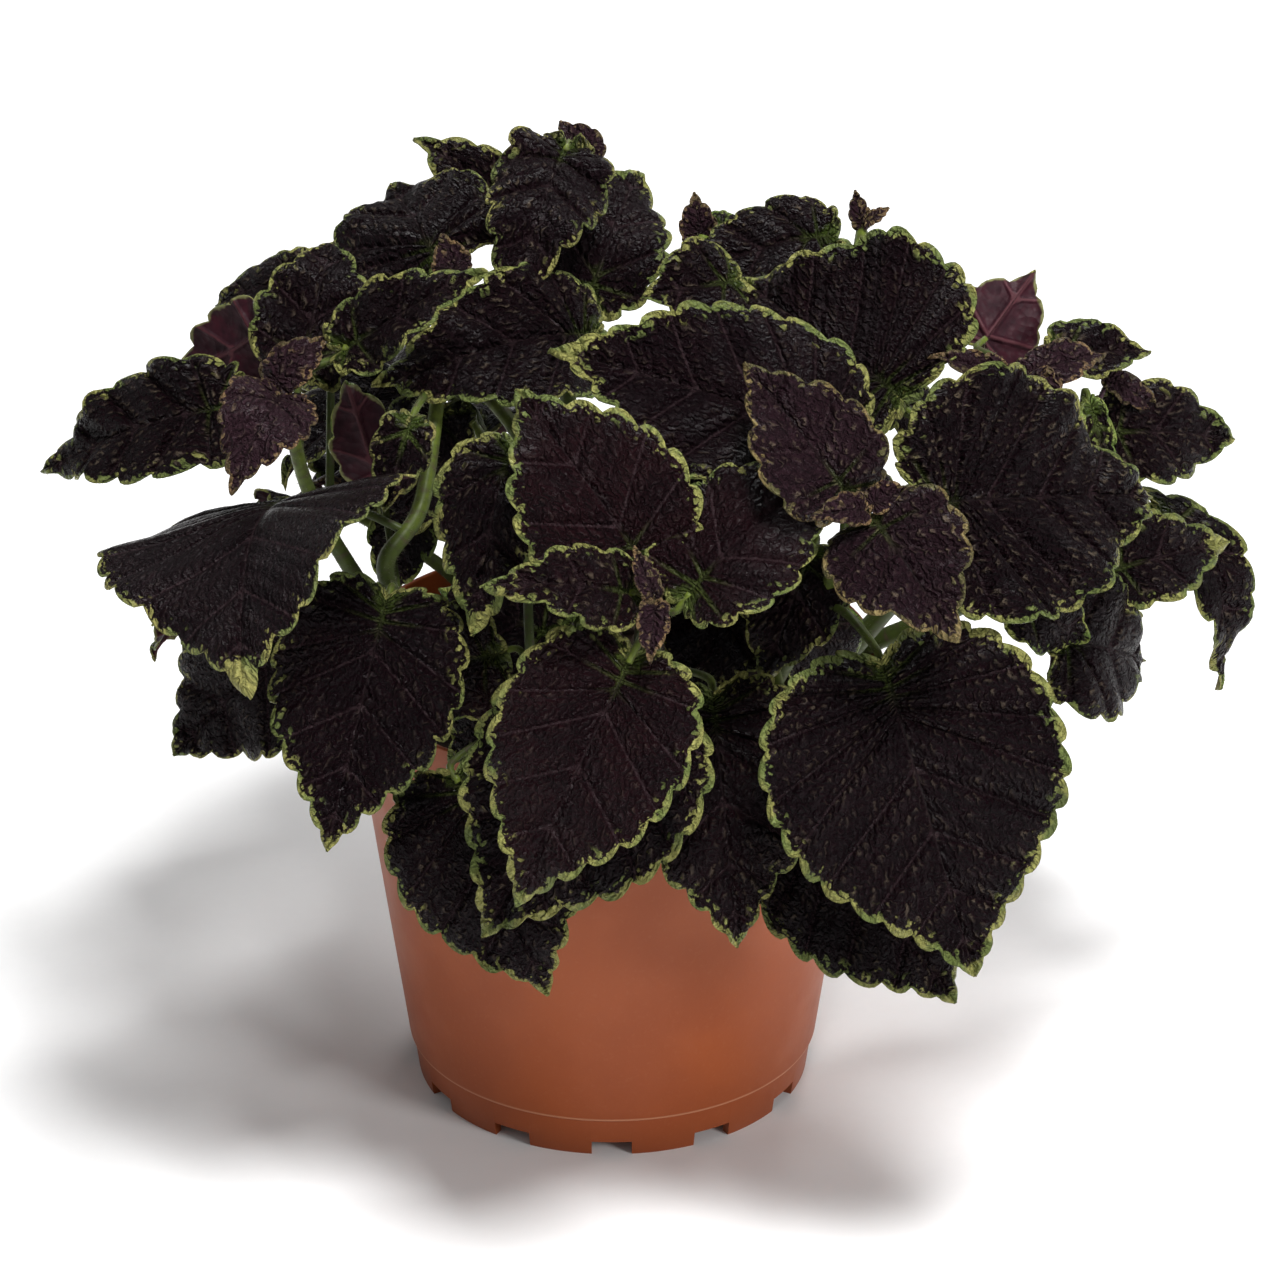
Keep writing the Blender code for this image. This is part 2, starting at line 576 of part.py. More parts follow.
def add_pot(plant, material):
    """The tapered pot with its collar, its foot ring with notches, and the drain holes in its floor."""
    taper = (RIM_RADIUS - COLLAR_STANDOUT - STEP_RADIUS - STEP_LEDGE) / (
        POT_HEIGHT - COLLAR_HEIGHT - STEP_HEIGHT
    )
    collar_foot = POT_HEIGHT - COLLAR_HEIGHT
    wall_top = RIM_RADIUS - COLLAR_STANDOUT
    floor_top = FLOOR_UNDERSIDE + FLOOR_THICKNESS
    inner_foot = STEP_RADIUS - WALL - (STEP_HEIGHT - floor_top) * taper
    outline = [
        (0, floor_top),
        (inner_foot, floor_top),
        (STEP_RADIUS + STEP_LEDGE - WALL, STEP_HEIGHT + INNER_STEP_RISE),
        (wall_top - WALL, collar_foot),
        (RIM_RADIUS - WALL, collar_foot + COLLAR_SHOULDER),
        (RIM_RADIUS - WALL + LIP_CHAMFER, POT_HEIGHT),
        (RIM_RADIUS, POT_HEIGHT),
        (RIM_RADIUS - COLLAR_TAPER, collar_foot),
        (wall_top, collar_foot),
        (STEP_RADIUS + STEP_LEDGE, STEP_HEIGHT + STEP_SLOPE),
        (STEP_RADIUS, STEP_HEIGHT),
        (FOOT_RADIUS, 0),
        (FOOT_RADIUS - FOOT_RING, 0),
        (FOOT_RADIUS - FOOT_RING, FLOOR_UNDERSIDE),
        (0, FLOOR_UNDERSIDE),
    ]
    pot = turned(outline, POT_SIDES, "pot", plant)
    cutters = cutter_collection("pot_cutters")
    for index in range(FOOT_NOTCHES):
        angle = index * 2 * math.pi / FOOT_NOTCHES - math.pi / 2
        mesh = bmesh.new()
        bmesh.ops.create_cube(mesh, size=1)
        notch = add_object(mesh, f"foot_notch_{index}", cutters)
        notch.scale = (NOTCH_REACH, 2 * FOOT_RADIUS * math.tan(NOTCH_ANGLE / 2), 2 * NOTCH_HEIGHT)
        notch.rotation_euler.z = angle
        notch.location = (FOOT_RADIUS * math.cos(angle), FOOT_RADIUS * math.sin(angle), 0)
        hide_cutter(notch)
    for index in range(DRAIN_HOLES):
        angle = (index + 0.5) * 2 * math.pi / DRAIN_HOLES
        place = Vector((DRAIN_CIRCLE * math.cos(angle), DRAIN_CIRCLE * math.sin(angle), 0))
        add_cylinder_cutter(place, DRAIN_RADIUS, STEP_HEIGHT, DRAIN_SIDES, f"drain_{index}", cutters)
    cut(pot, cutters)
    pot.data.materials.append(material)
    return taper


def add_soil(plant, material, taper):
    """The soil's plug, a lumpy top on a tapered side, with a plain hole for each stem's foot."""
    bottom = FLOOR_UNDERSIDE + FLOOR_THICKNESS + GAP
    foot = STEP_RADIUS - WALL - GAP - (STEP_HEIGHT - bottom) * taper - 2 * SOIL_SLACK
    shoulder = STEP_HEIGHT + INNER_STEP_RISE
    side = STEP_RADIUS + STEP_LEDGE - WALL - GAP - SOIL_SLACK
    top = side + (SOIL_LEVEL - shoulder) * taper
    draw = random.Random(SOIL_SEED)
    waves = [
        (draw.uniform(*SOIL_WAVE_RATES), draw.uniform(0, math.tau), draw.uniform(0, math.tau))
        for _ in range(SOIL_WAVES)
    ]
    mesh = bmesh.new()
    rings = [(foot, bottom), (side, shoulder), (top, SOIL_LEVEL - SOIL_SHOULDER)]
    flat_rings = len(rings)
    rings += [(top * (1 - ring / SOIL_RINGS), SOIL_LEVEL) for ring in range(SOIL_RINGS)]
    loops = []
    for index, (radius, height) in enumerate(rings):
        loop = []
        for step in range(SOIL_SIDES):
            angle = step * 2 * math.pi / SOIL_SIDES
            x, y = radius * math.cos(angle), radius * math.sin(angle)
            lump = sum(
                math.sin(rate * (x * math.cos(turn) + y * math.sin(turn)) + start)
                for rate, turn, start in waves
            )
            rise = SOIL_LUMP * lump if index > flat_rings else 0
            loop.append(mesh.verts.new((x, y, height + rise)))
        loops.append(loop)
    for lower, upper in zip(loops, loops[1:]):
        for step in range(SOIL_SIDES):
            ahead = (step + 1) % SOIL_SIDES
            mesh.faces.new((lower[step], lower[ahead], upper[ahead], upper[step]))
    centre = mesh.verts.new((0, 0, SOIL_LEVEL))
    for step in range(SOIL_SIDES):
        mesh.faces.new((loops[-1][step], loops[-1][(step + 1) % SOIL_SIDES], centre))
    mesh.faces.new(reversed(loops[0]))
    bmesh.ops.triangulate(mesh, faces=mesh.faces)
    soil = add_object(mesh, "soil", plant)
    holes = cutter_collection("stem_holes")
    for name, (foot, *_) in {**STEMS, **BACK_STEMS}.items():
        place = Vector((foot[0] * MM, foot[1] * MM, SOIL_LEVEL - HOLE_DEPTH))
        radius = STEM_FOOT_RADIUS * HOLE_FIT + GAP
        add_cylinder_cutter(place, radius, 2 * HOLE_DEPTH, HOLE_SIDES, f"hole_{name}", holes)
    cut(soil, holes)
    soil.data.materials.append(material)


def plain_material(name, colour, roughness):
    """A matt material of one colour."""
    material = bpy.data.materials.new(name)
    material.use_nodes = True
    shader = material.node_tree.nodes["Principled BSDF"]
    shader.inputs["Base Color"].default_value = (*colour, 1)
    shader.inputs["Roughness"].default_value = roughness
    return material


def main():
    for obj in list(bpy.data.objects):
        bpy.data.objects.remove(obj)
    plant = bpy.data.collections.new("potted_coleus")
    bpy.context.scene.collection.children.link(plant)
    holder = bpy.data.objects.new(HOLDER, None)
    holder.location = POT_PLACE
    plant.objects.link(holder)
    taper = add_pot(plant, plain_material("terracotta_plastic", (0.32, 0.09, 0.04), 0.5))
    add_soil(plant, plain_material("soil", (0.03, 0.02, 0.015), 1.0), taper)
    foliage = plain_material("foliage", (0.03, 0.012, 0.016), 0.75)
    for name, foot, route, leaves in all_stems():
        add_stem(name, foot, route, leaves, foliage, plant)


main()
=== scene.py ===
"""Looks of the potted coleus: crenate velvety leaves, their stalks and stems, the nursery pot and its soil.

Everything is laid out from the pot's axis, as in the part's source, and then carried to POT_PLACE.
"""

import json
import math
import random
from types import SimpleNamespace

import bmesh
import bpy
import numpy as np
from mathutils import Matrix, Vector, noise

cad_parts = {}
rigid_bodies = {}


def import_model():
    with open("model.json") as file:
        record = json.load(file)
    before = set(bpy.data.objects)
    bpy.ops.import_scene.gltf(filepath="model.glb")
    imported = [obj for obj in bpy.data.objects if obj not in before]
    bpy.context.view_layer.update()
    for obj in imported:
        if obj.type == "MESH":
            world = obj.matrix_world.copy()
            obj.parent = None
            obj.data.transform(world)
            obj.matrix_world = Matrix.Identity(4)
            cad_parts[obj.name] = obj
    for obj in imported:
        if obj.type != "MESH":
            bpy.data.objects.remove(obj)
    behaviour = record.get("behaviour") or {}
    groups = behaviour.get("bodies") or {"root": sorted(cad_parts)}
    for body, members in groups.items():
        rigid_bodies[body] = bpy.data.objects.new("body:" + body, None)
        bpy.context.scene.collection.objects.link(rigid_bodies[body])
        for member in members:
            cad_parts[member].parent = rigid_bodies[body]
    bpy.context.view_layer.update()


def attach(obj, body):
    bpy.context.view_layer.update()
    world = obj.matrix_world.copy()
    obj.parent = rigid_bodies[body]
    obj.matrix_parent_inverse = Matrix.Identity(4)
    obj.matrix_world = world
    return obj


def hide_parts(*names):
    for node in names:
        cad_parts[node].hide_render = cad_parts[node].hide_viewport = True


MM = 0.001
UP = Vector((0, 0, 1))
POT_PLACE = Vector((-9.6 * MM, -3.9 * MM, 0))

# Pot
POT_HEIGHT = 113 * MM
RIM_RADIUS = 65 * MM
FOOT_RADIUS = 48.7 * MM
STEP_HEIGHT = 10.6 * MM
STEP_RADIUS = 50.3 * MM
STEP_LEDGE = 0.8 * MM
STEP_SLOPE = 0.4 * MM
STEP_LINE = 0.5 * MM
INNER_STEP_RISE = 1 * MM
COLLAR_HEIGHT = 13 * MM
COLLAR_STANDOUT = 1.6 * MM
COLLAR_TAPER = 0.9 * MM
COLLAR_SHOULDER = 1.5 * MM
WALL = 1.3 * MM
FOOT_RING = 2.2 * MM
FLOOR_UNDERSIDE = 4 * MM
FLOOR_THICKNESS = 1.8 * MM
POT_SIDES = 240
MERGE_DISTANCE = 0.05 * MM
FOOT_NOTCHES = 12
NOTCH_ANGLE = math.radians(11.5)
NOTCH_HEIGHT = 3.8 * MM
NOTCH_REACH = 8 * MM
DRAIN_HOLES = 6
DRAIN_RADIUS = 4.5 * MM
DRAIN_CIRCLE = 30 * MM
DRAIN_SIDES = 32
ROUNDING = 0.4 * MM
SHARP_ANGLE = math.radians(35)

# Soil
SOIL_LEVEL = 99 * MM
HOLE_DEPTH = 22 * MM
GAP = 0.3 * MM
SOIL_SEED = 11
SOIL_RINGS = 40
SOIL_SIDES = 160
SOIL_LUMP = 1.6 * MM
SOIL_LUMP_PITCH = 9 * MM
SOIL_LUMP_FORM = (0.8, 2.2, 5)
CRUMBS = 420
CRUMB_SIZE = (0.7 * MM, 2.4 * MM)
CRUMB_SHAPE = ((0.6, 1.3), (0.6, 1.1), (0.4, 0.9))
CRUMB_DENTS = (0.75, 1.15)
CRUMB_TILT = 0.3
CRUMB_RISE = SOIL_LUMP * 0.3

# Stems and leaves, as in the part's source
STEM_FOOT_RADIUS = 2.6 * MM
STEM_TIP_RADIUS = 1.4 * MM
STEM_COLLAR = 6 * MM
SEAT_STEPS = 12
PETIOLE_LENGTH = 14 * MM
PETIOLE_NECK = 4 * MM
PETIOLE_BEND = 0.1
YOUNG_STALK = 0.6
PAIR_SPACING = 6 * MM
YOUNG_PETIOLE_LENGTH = 3 * MM
YOUNG_TEETH = 4
RIM_CLEARANCE = 8 * MM
WIDEST_AT = 0.30
LOBE_SHARE = 0.45
BASE_LOBE = 0.13
TAPER_FROM = 0.62
TIP_FROM = 0.86
TIP_WIDTH = 0.36
VEIN_SLANT = 0.75

# Fine form of a leaf
TIP_SLIMMING = 0.28
LEAF_THICKNESS = 0.5 * MM
BIG_LEAF = 45
FEWEST_LOBES = 5
FEWEST_VEINS = 4
ROWS_A_LOBE = 7
COLUMNS = 12
CRENATION_PITCH = 6.6
YOUNG_PITCH = 4.2
CRENATION_DEPTH = 2.6 * MM
DEEPEST_NOTCH = 0.3
NOTCH_ROUNDNESS = 0.97
EDGE_LENGTH = 0.9
EDGE_SPAN = (0.004, 0.998)
SIDE_VEIN_START = 0.3
TIP_FADE = 0.07
LOBE_LEAN = 1.4
LOBE_DROOP = 0.9 * MM
PLEAT = 1.5 * MM
VEIN_PITCH = 9 * MM
CROSS_VEIN_PITCH = 2.7 * MM
PUCKER = 2.0 * MM
PANEL_CROWN = 0.7
RIPPLE = 0.25
CALM_SHARE = 0.2
CALM_EDGE = 2.5
CALM_MIDRIB = 2
GROOVE_DEPTH = 0.6 * MM
GROOVE_WIDTH = 0.8 * MM
SIDE_GROOVE_DEPTH = 0.6
SIDE_GROOVE_WIDTH = 1 / 1.3
RUFFLE = 1.5 * MM
RUFFLE_RATES = (1.7, 4.3)
SWELL = 1.6 * MM
SWELL_RATES = (0.9, 0.7)
STALK_RADIUS = 1.15 * MM
STALK_TIP_RADIUS = 0.8 * MM
STALK_SINK = 2 * MM
STALK_STEPS = 6
MARGIN_AT_NOTCH = 0.05
MARGIN_AT_CROWN = 0.8
TUBE_SIDES = 8
TUBE_START = (0.3, 0.9, 0.2)
SQUARENESS = 0.08
HAIR_LENGTH = 1.1 * MM
HAIR_WIDTH = 0.09 * MM
HAIR_SPAN = (0.05, 0.95)
HAIR_LEAN = (-0.3, 0.5)
HAIR_SCATTER = (0.6, 1.2)
STEM_HAIRS = 500
STALK_HAIRS = 90
UPPER, UNDER, STALK = 0, 1, 2

# Steps between a blade's halves and between leaves in the patterns, in mm
HALF_SHIFT = 50
LEAF_SHIFT = 90

# Colours, as linear red, green and blue
BLADE = (0.0056, 0.0022, 0.0034)
RED_BLADE = (0.0108, 0.003, 0.0042)
SHADED_BLADE = (0.003, 0.0014, 0.0022)
YOUNG_BLADE = (0.028, 0.013, 0.018)
# Painted highlight: pale flecks on the crowns of the blade's small panels
BLADE_PAINTED_HIGHLIGHT = (0.16, 0.125, 0.085)
BLADE_DOWN = (0.034, 0.011, 0.013)
BLADE_VEINS = (0.036, 0.021, 0.024)
BLADE_BASE = (0.22, 0.36, 0.05)
LIME = ((0.29, 0.32, 0.085), (0.14, 0.205, 0.05))
TAN = ((0.25, 0.155, 0.08), (0.12, 0.085, 0.05))
MARGIN_SPECKS = (0.12, 0.14, 0.045)
MAROON = ((0.03, 0.0055, 0.01), (0.016, 0.0035, 0.0065))
MAROON_VEINS = (0.075, 0.023, 0.028)
UNDER_MARGIN = (0.15, 0.15, 0.06)
STALK_GREEN = ((0.12, 0.155, 0.022), (0.062, 0.088, 0.014))
# Painted shade: the dark green that stems and stalks fade to inside the plant
STALK_PAINTED_SHADE = (0.022, 0.034, 0.009)
STALK_FLUSH = (0.1, 0.04, 0.05)
YOUNG_STEM = (0.055, 0.026, 0.04)
HAIRS = (0.17, 0.18, 0.1)
TERRACOTTA = ((0.29, 0.064, 0.015), (0.262, 0.056, 0.013))
TERRACOTTA_SPECKS = (0.33, 0.1, 0.04)
# Painted highlight: the pale line along the rounded edge of the pot's foot step
TERRACOTTA_PAINTED_HIGHLIGHT = (0.52, 0.26, 0.15)
PEAT = ((0.012, 0.008, 0.006), (0.045, 0.027, 0.016))
BARK = (0.12, 0.075, 0.045)
FLOOR_GREYS = ((0.9, 0.9, 0.9), (0.92, 0.92, 0.92))

# The photograph's view
VIEW_SPAN = 1280
VIEW_CENTRE = Vector((6.9 * MM, 0, 116.2 * MM))
VIEW_PITCH = math.radians(25.97)
VIEW_DISTANCE = 1.3
VIEW_FOCAL = 5343
VIEW_RIGHT = Vector((1, 0, 0))
VIEW_UP = Vector((0, math.sin(VIEW_PITCH), math.cos(VIEW_PITCH)))
VIEW_BACK = Vector((0, -math.cos(VIEW_PITCH), math.sin(VIEW_PITCH)))
VIEW_EYE = VIEW_CENTRE + VIEW_DISTANCE * VIEW_BACK
SENSOR_MM = 36

# Studio
FLOOR_RADIUS = 2.5
FLOOR_SIDES = 64
WORLD_STRENGTH = 0.26
LIGHTS = {
    "key": ((0.3, -0.7, 1.8), 0.45, 42),
    "fill": ((1.3, -1.1, 0.7), 0.5, 14),
    "back": ((0.3, 1.2, 1.4), 0.6, 14),
}

# How a leaf looks where its own entry doesn't say: margin and tip_mm (widths of the pale edge and of the pale
# tip), red, tan, green and dusk (shares of a reddish blade, a tan margin, a green base and a young leaf's
# colour), and pucker (how strongly the blade bulges between its veins)
LOOK = dict(margin=0.75, tip_mm=1.5, red=0.1, tan=0.3, pucker=1, green=0.15, dusk=0)
YOUNG_LOOK = dict(margin=0.45, tip_mm=0.5, red=0, tan=1, pucker=1.2, green=0, dusk=1)
OLD_LOOK = dict(margin=0.9, tip_mm=1.5, red=0.1, tan=0, pucker=0.7, green=0.2, dusk=0)

# The form of the smallest leaves
BUD = dict(teeth=3, fold=0.3)

# Each stem: its foot in the soil (x, y in mm), the view points that it passes through up to its tip, and its
# leaves as base, tip and width over length, each with what sets it apart
STEMS = {
    "stem_front": ((8, -38), [(652, 650, -76), (655, 600, -98)], [
        ((650, 570, -92), (515, 388, -66), 0.8, dict(arch=0.08, red=0.8, margin=1.5, pucker=0.5)),
        ((684, 598, -96), (832, 460, -72), 0.74,
         dict(arch=0.06, fold=0.22, face=(-0.2, 0.3), red=0.6, pucker=0.4)),
        ((640, 592, -98), (483, 585, -112), 0.52,
         dict(arch=0.08, fold=0.15, face=(0, 0.3), red=0.5, margin=1)),
        ((632, 655, -104), (515, 908, -124), 0.74,
         dict(arch=0.06, fold=0.12, red=0.7, margin=1.5, tip_mm=3.5, pucker=0.6)),
        ((640, 694, -90), (482, 937, -110), 0.84, dict(margin=1.8, tip_mm=4)),
        ((712, 692, -84), (737, 947, -98), 0.78, dict(face=(0.1, 0), red=0.3, margin=0.9)),
        ((654, 598, -101), (634, 546, -98), 0.48, BUD),
        ((655, 602, -103), (650, 664, -112), 0.55, BUD),
    ]),
    "stem_front_low": ((-14, -42), [(540, 705, -64), (530, 660, -66)], [
        ((455, 775, -74), (548, 998, -88), 0.8, dict(fold=0.08, face=(-0.1, 0), margin=1.2)),
        ((503, 653, -66), (392, 672, -56), 0.95, dict(fold=0.2, face=(0, -0.1), red=0.9, margin=0.6)),
        ((515, 445, -58), (472, 636, -84), 0.66, dict(arch=0.1, face=(-0.3, 0), margin=2, tip_mm=5)),
        ((560, 640, -46), (438, 588, -34), 0.8, dict(teeth=5)),
        ((520, 700, -62), (446, 762, -62), 0.8, dict(teeth=5)),
    ]),
    "stem_right": ((30, -32), [(815, 610, -64), (866, 512, -82)], [
        ((850, 498, -84), (745, 362, -72), 0.76,
         dict(arch=0.06, fold=0.3, margin=0.7, tan=0.8, pucker=1.3, dusk=0.6)),
        ((872, 518, -88), (958, 642, -112), 0.95,
         dict(arch=0.12, fold=0.12, margin=0.9, tan=0.8, pucker=1.3, dusk=0.5)),
        ((918, 505, -76), (1150, 498, -44), 0.92,
         dict(arch=0.1, fold=0.14, face=(0, 0.2), margin=1.3, pucker=1.4)),
        ((845, 448, -58), (550, 348, -56), 0.7,
         dict(arch=0.08, fold=0.12, face=(0, 0.5), margin=1.6, tip_mm=7, pucker=0.7)),
        ((880, 660, -90), (975, 977, -112), 0.92, dict(arch=0.08, fold=0.12, margin=1.9, tip_mm=3)),
        ((812, 548, -66), (762, 684, -76), 0.76, dict(fold=0.15, margin=0.7)),
        ((866, 510, -90), (812, 516, -97), 0.62, dict(teeth=3, fold=0.3, face=(0, 0.4))),
        ((870, 505, -88), (912, 488, -84), 0.75, dict(teeth=3, fold=0.3, face=(0, 0.4))),
    ]),
    "stem_right_low": ((24, -46), [(775, 720, -62), (770, 650, -60)], [
        ((800, 800, -76), (955, 1003, -88), 0.8, dict(fold=0.08, margin=1.3)),
        ((765, 565, -58), (668, 448, -50), 0.72, dict(fold=0.15, margin=1.2)),
        ((730, 585, -44), (690, 706, -58), 1, dict()),
        ((800, 612, -40), (846, 690, -36), 0.9, dict(teeth=5)),
    ]),
    "stem_left": ((-40, -16), [(322, 520, -28), (283, 395, -42)], [
        ((240, 404, -26), (36, 470, -8), 0.5,
         dict(arch=0.08, fold=0.15, face=(0, 0.4), margin=0.8, pucker=1.2)),
        ((338, 350, -42), (488, 271, -44), 0.5, dict(fold=0.3, face=(0, 0.5), margin=1)),
        ((300, 374, -30), (335, 238, 2), 0.74, dict(arch=0.1, fold=0.15, margin=1)),
        ((268, 328, -8), (160, 386, 4), 0.62, dict(flip=True, margin=0.8)),
        ((318, 276, 22), (212, 304, 32), 0.55, dict(face=(0, 0.5), margin=0.5)),
        ((300, 630, -26), (170, 757, -20), 0.8, dict(margin=0.7)),
        ((282, 392, -46), (231, 492, -68), 0.78, dict(teeth=4, arch=0.2, fold=0.2)),
        ((270, 384, -44), (329, 336, -38), 0.66, dict(teeth=3, fold=0.2, arch=0.1)),
    ]),
    "stem_upper_left": ((-26, -34), [(388, 585, -62), (424, 494, -50), (452, 268, -12)], [
        ((388, 596, -70), (327, 852, -98), 0.76, dict(arch=0.06, margin=0.9, tip_mm=3, pucker=0.7)),
        ((294, 504, -54), (243, 690, -112), 1.26,
         dict(arch=0.2, fold=0.12, face=(-0.8, 1), tan=0.4, tip_mm=6, pucker=0.5)),
        ((442, 270, 0), (390, 180, 38), 1.08, dict(arch=0.08, fold=0.05, margin=0.5, pucker=1.2)),
        ((412, 418, -50), (384, 512, -60), 0.66, dict(teeth=5, arch=0.1, fold=0.2, margin=0.6, tan=0.5)),
        ((412, 496, -20), (388, 602, -26), 0.64, dict(teeth=5, arch=0.08)),
        ((446, 404, -30), (400, 548, -34), 0.72, dict(arch=0.08, fold=0.15, face=(-0.3, 0))),
        ((378, 482, -36), (345, 378, -40), 0.6, dict(teeth=5, fold=0.2, flip=True)),
        ((462, 336, -18), (494, 280, -16), 0.75, dict(teeth=4, fold=0.2)),
        ((455, 274, -16), (442, 234, -16), 0.95, dict(teeth=3, fold=0.2)),
    ]),
    "stem_top": ((-6, 6), [(568, 400, 0), (570, 150, 26)], [
        ((568, 142, 22), (503, 322, -26), 0.5,
         dict(arch=0.1, fold=0.06, margin=0.7, tan=0.4, pucker=1.5, dusk=0.08)),
        ((508, 206, 36), (414, 136, 46), 0.62, dict(fold=0.2, face=(0, 0.6), margin=1.3)),
        ((588, 300, 0), (640, 166, 36), 0.7, dict(arch=0.08, fold=0.12, margin=1.2, pucker=0.6)),
        ((600, 332, -18), (372, 384, -42), 0.64, dict(arch=0.08, fold=0.12, face=(0, 0.5), margin=1.2)),
        ((590, 165, 34), (560, 120, 40), 0.95, dict(teeth=4, fold=0.2)),
    ]),
    "stem_top_right": ((8, 22), [(660, 420, 22), (704, 236, 46)], [
        ((700, 244, 48), (694, 192, 52), 0.75, dict(teeth=4, fold=0.3)),
        ((712, 228, 50), (770, 224, 60), 0.5, dict(teeth=5, face=(0, 1.2))),
    ]),
    "stem_upper_right": ((22, 4), [(830, 420, -20), (862, 232, 34)], [
        ((905, 404, -34), (740, 278, 6), 1.18,
         dict(arch=0.06, fold=0.2, face=(0.1, 0.3), margin=1.7, tip_mm=5, pucker=0.8)),
        ((835, 238, 30), (672, 276, 26), 0.7, dict(arch=0.08, face=(0, 0.9), margin=0.5)),
        ((738, 280, 2), (640, 300, -10), 0.9, dict(arch=0.08, face=(0, 0.3), margin=0.8)),
        ((862, 228, 34), (855, 190, 38), 0.6, BUD),
        ((866, 222, 32), (889, 208, 36), 0.5, BUD),
    ]),
    "stem_far_right": ((46, -14), [(990, 480, -30), (1018, 382, -26)], [
        ((1010, 380, -28), (930, 356, -32), 0.45, dict(teeth=4, fold=0.2, face=(0, 0.6))),
        ((1020, 382, -28), (1064, 410, -42), 0.7, dict(teeth=4, fold=0.2, face=(0, 0.5))),
        ((1024, 376, -24), (1107, 352, -16), 0.55, dict(teeth=4, fold=0.2, face=(0, 0.5))),
        ((980, 346, -2), (1036, 270, 14), 0.9, dict(fold=0.15, flip=True, margin=0.7)),
        ((1050, 352, -4), (1151, 352, 4), 0.62, dict(fold=0.2, face=(0, 0.6), margin=0.9)),
    ]),
    "stem_right_edge": ((48, 6), [(1040, 560, -18), (1090, 420, -6)], [
        ((1100, 432, 0), (1238, 438, 12), 0.72, dict(arch=0.08, fold=0.15, margin=1)),
        ((1105, 374, 2), (1158, 411, 6), 0.42, dict(teeth=4, fold=0.3)),
        ((1090, 402, -14), (1112, 490, -20), 0.36, dict(teeth=5, fold=0.3)),
        ((1105, 572, -28), (1233, 540, -12), 0.66, dict(fold=0.12, margin=1.7, tip_mm=7)),
        ((1150, 505, 8), (1218, 690, 2), 0.4, dict(arch=0.25, fold=0.3, face=(0.8, 0.5), margin=1)),
        ((1052, 642, -58), (1153, 660, -28), 0.8, dict(arch=0.06, fold=0.12, margin=0.6)),
        ((1012, 602, -62), (1092, 640, -52), 0.7, dict(teeth=5, fold=0.12, margin=0.6)),
    ]),
}

# Each stem of the far side: its foot in the soil (x, y in mm), the direction it leans to, in degrees from +X
# towards +Y, how far out and how high its tip stands, in mm, and whether it is one of the high ones
BACK_STEMS = {
    "stem_back_low_1": ((42, 24), 22, 100, 142, False),
    "stem_back_low_2": ((20, 44), 68, 98, 140, False),
    "stem_back_low_3": ((-16, 44), 115, 98, 146, False),
    "stem_back_low_4": ((-40, 24), 155, 84, 142, False),
    "stem_back_high_1": ((18, 20), 46, 60, 182, True),
    "stem_back_high_2": ((-18, 20), 134, 60, 174, True),
}

# The leaves of a low and of a high back stem: how far each turns from where the stem leans, in degrees, how
# far below the stem's tip it sits, its length in mm, its droop, and its teeth on a side
LOW_LEAVES = (
    (4, 20, 62, 0.95, 6),
    (62, 12, 46, 0.75, 6),
    (-64, 12, 46, 0.75, 6),
    (-118, 4, 36, 0.1, 5),
    (170, 1, 17, -0.3, 3),
)
HIGH_LEAVES = (
    (0, 14, 58, 0.45, 6),
    (84, 9, 46, 0.35, 6),
    (-86, 9, 46, 0.35, 6),
    (30, 1, 18, -0.1, 3),
    (-150, 1, 16, -0.2, 3),
)
BACK_SEED = 7
BACK_SCATTER = 6
BACK_PETIOLE_SHARE = 0.16
BACK_STEM_RISE = 18 * MM
BACK_WIDTH = 0.76
BACK_FORM = dict(arch=0.1, fold=0.12)


def view_point(x, y, depth):
    """The point that the view shows at (x, y), at a depth in millimetres along Y."""
    ray = -VIEW_BACK
    ray += VIEW_RIGHT * (x - VIEW_SPAN / 2) / VIEW_FOCAL
    ray += VIEW_UP * (VIEW_SPAN / 2 - y) / VIEW_FOCAL
    return VIEW_EYE + ray * (depth * MM - VIEW_EYE.y) / ray.y


def smooth_path(points, steps):
    """A smooth curve through the points, with the given number of steps between each two."""
    ends = [2 * points[0] - points[1], *points, 2 * points[-1] - points[-2]]
    path = []
    for before, start, end, after in zip(ends, ends[1:], ends[2:], ends[3:]):
        for step in range(steps):
            t = step / steps
            path.append(
                start
                + (end - before) * (t / 2)
                + (2 * before - 5 * start + 4 * end - after) * (t**2 / 2)
                + (3 * start - before - 3 * end + after) * (t**3 / 2)
            )
    return [*path, points[-1]]


def leaf(base, tip, width, facing, teeth=6, arch=0.05, fold=0.1, **look):
    """The leaf from base to tip whose upper side turns towards the vector facing."""
    axis = (tip - base).normalized()
    normal = (facing - facing.dot(axis) * axis).normalized()
    young = teeth <= YOUNG_TEETH
    look = (YOUNG_LOOK if young else OLD_LOOK if teeth == 5 else LOOK) | look
    return SimpleNamespace(
        base=base,
        length=(tip - base).length,
        axis=axis,
        normal=normal,
        side=axis.cross(normal),
        width=width,
        young=young,
        arch=arch,
        fold=fold,
        **look,
    )


def view_leaf(base, tip, width, face=(0, 0.15), flip=False, **form):
    """The leaf between two points of the view, turned to the view and by face to the right and up from it."""
    base = view_point(*base)
    tip = view_point(*tip)
    facing = VIEW_BACK + Vector((face[0], 0, face[1]))
    return leaf(base, tip, width, -facing if flip else facing, **form)


def petiole_start(leaf, path, reach):
    """The stem's point that the stalk grows from: about this far off, below and behind the blade."""

    def misfit(point):
        way = point - leaf.base
        above = max(0, way.z) / 2 + max(0, way.dot(leaf.normal) + PETIOLE_NECK / 2)
        ahead = max(0, way.dot(leaf.axis)) / 2
        below_rim = max(0, POT_HEIGHT + RIM_CLEARANCE - point.z)
        return abs(way.length - reach) + above + ahead + below_rim

    return min(path, key=misfit)


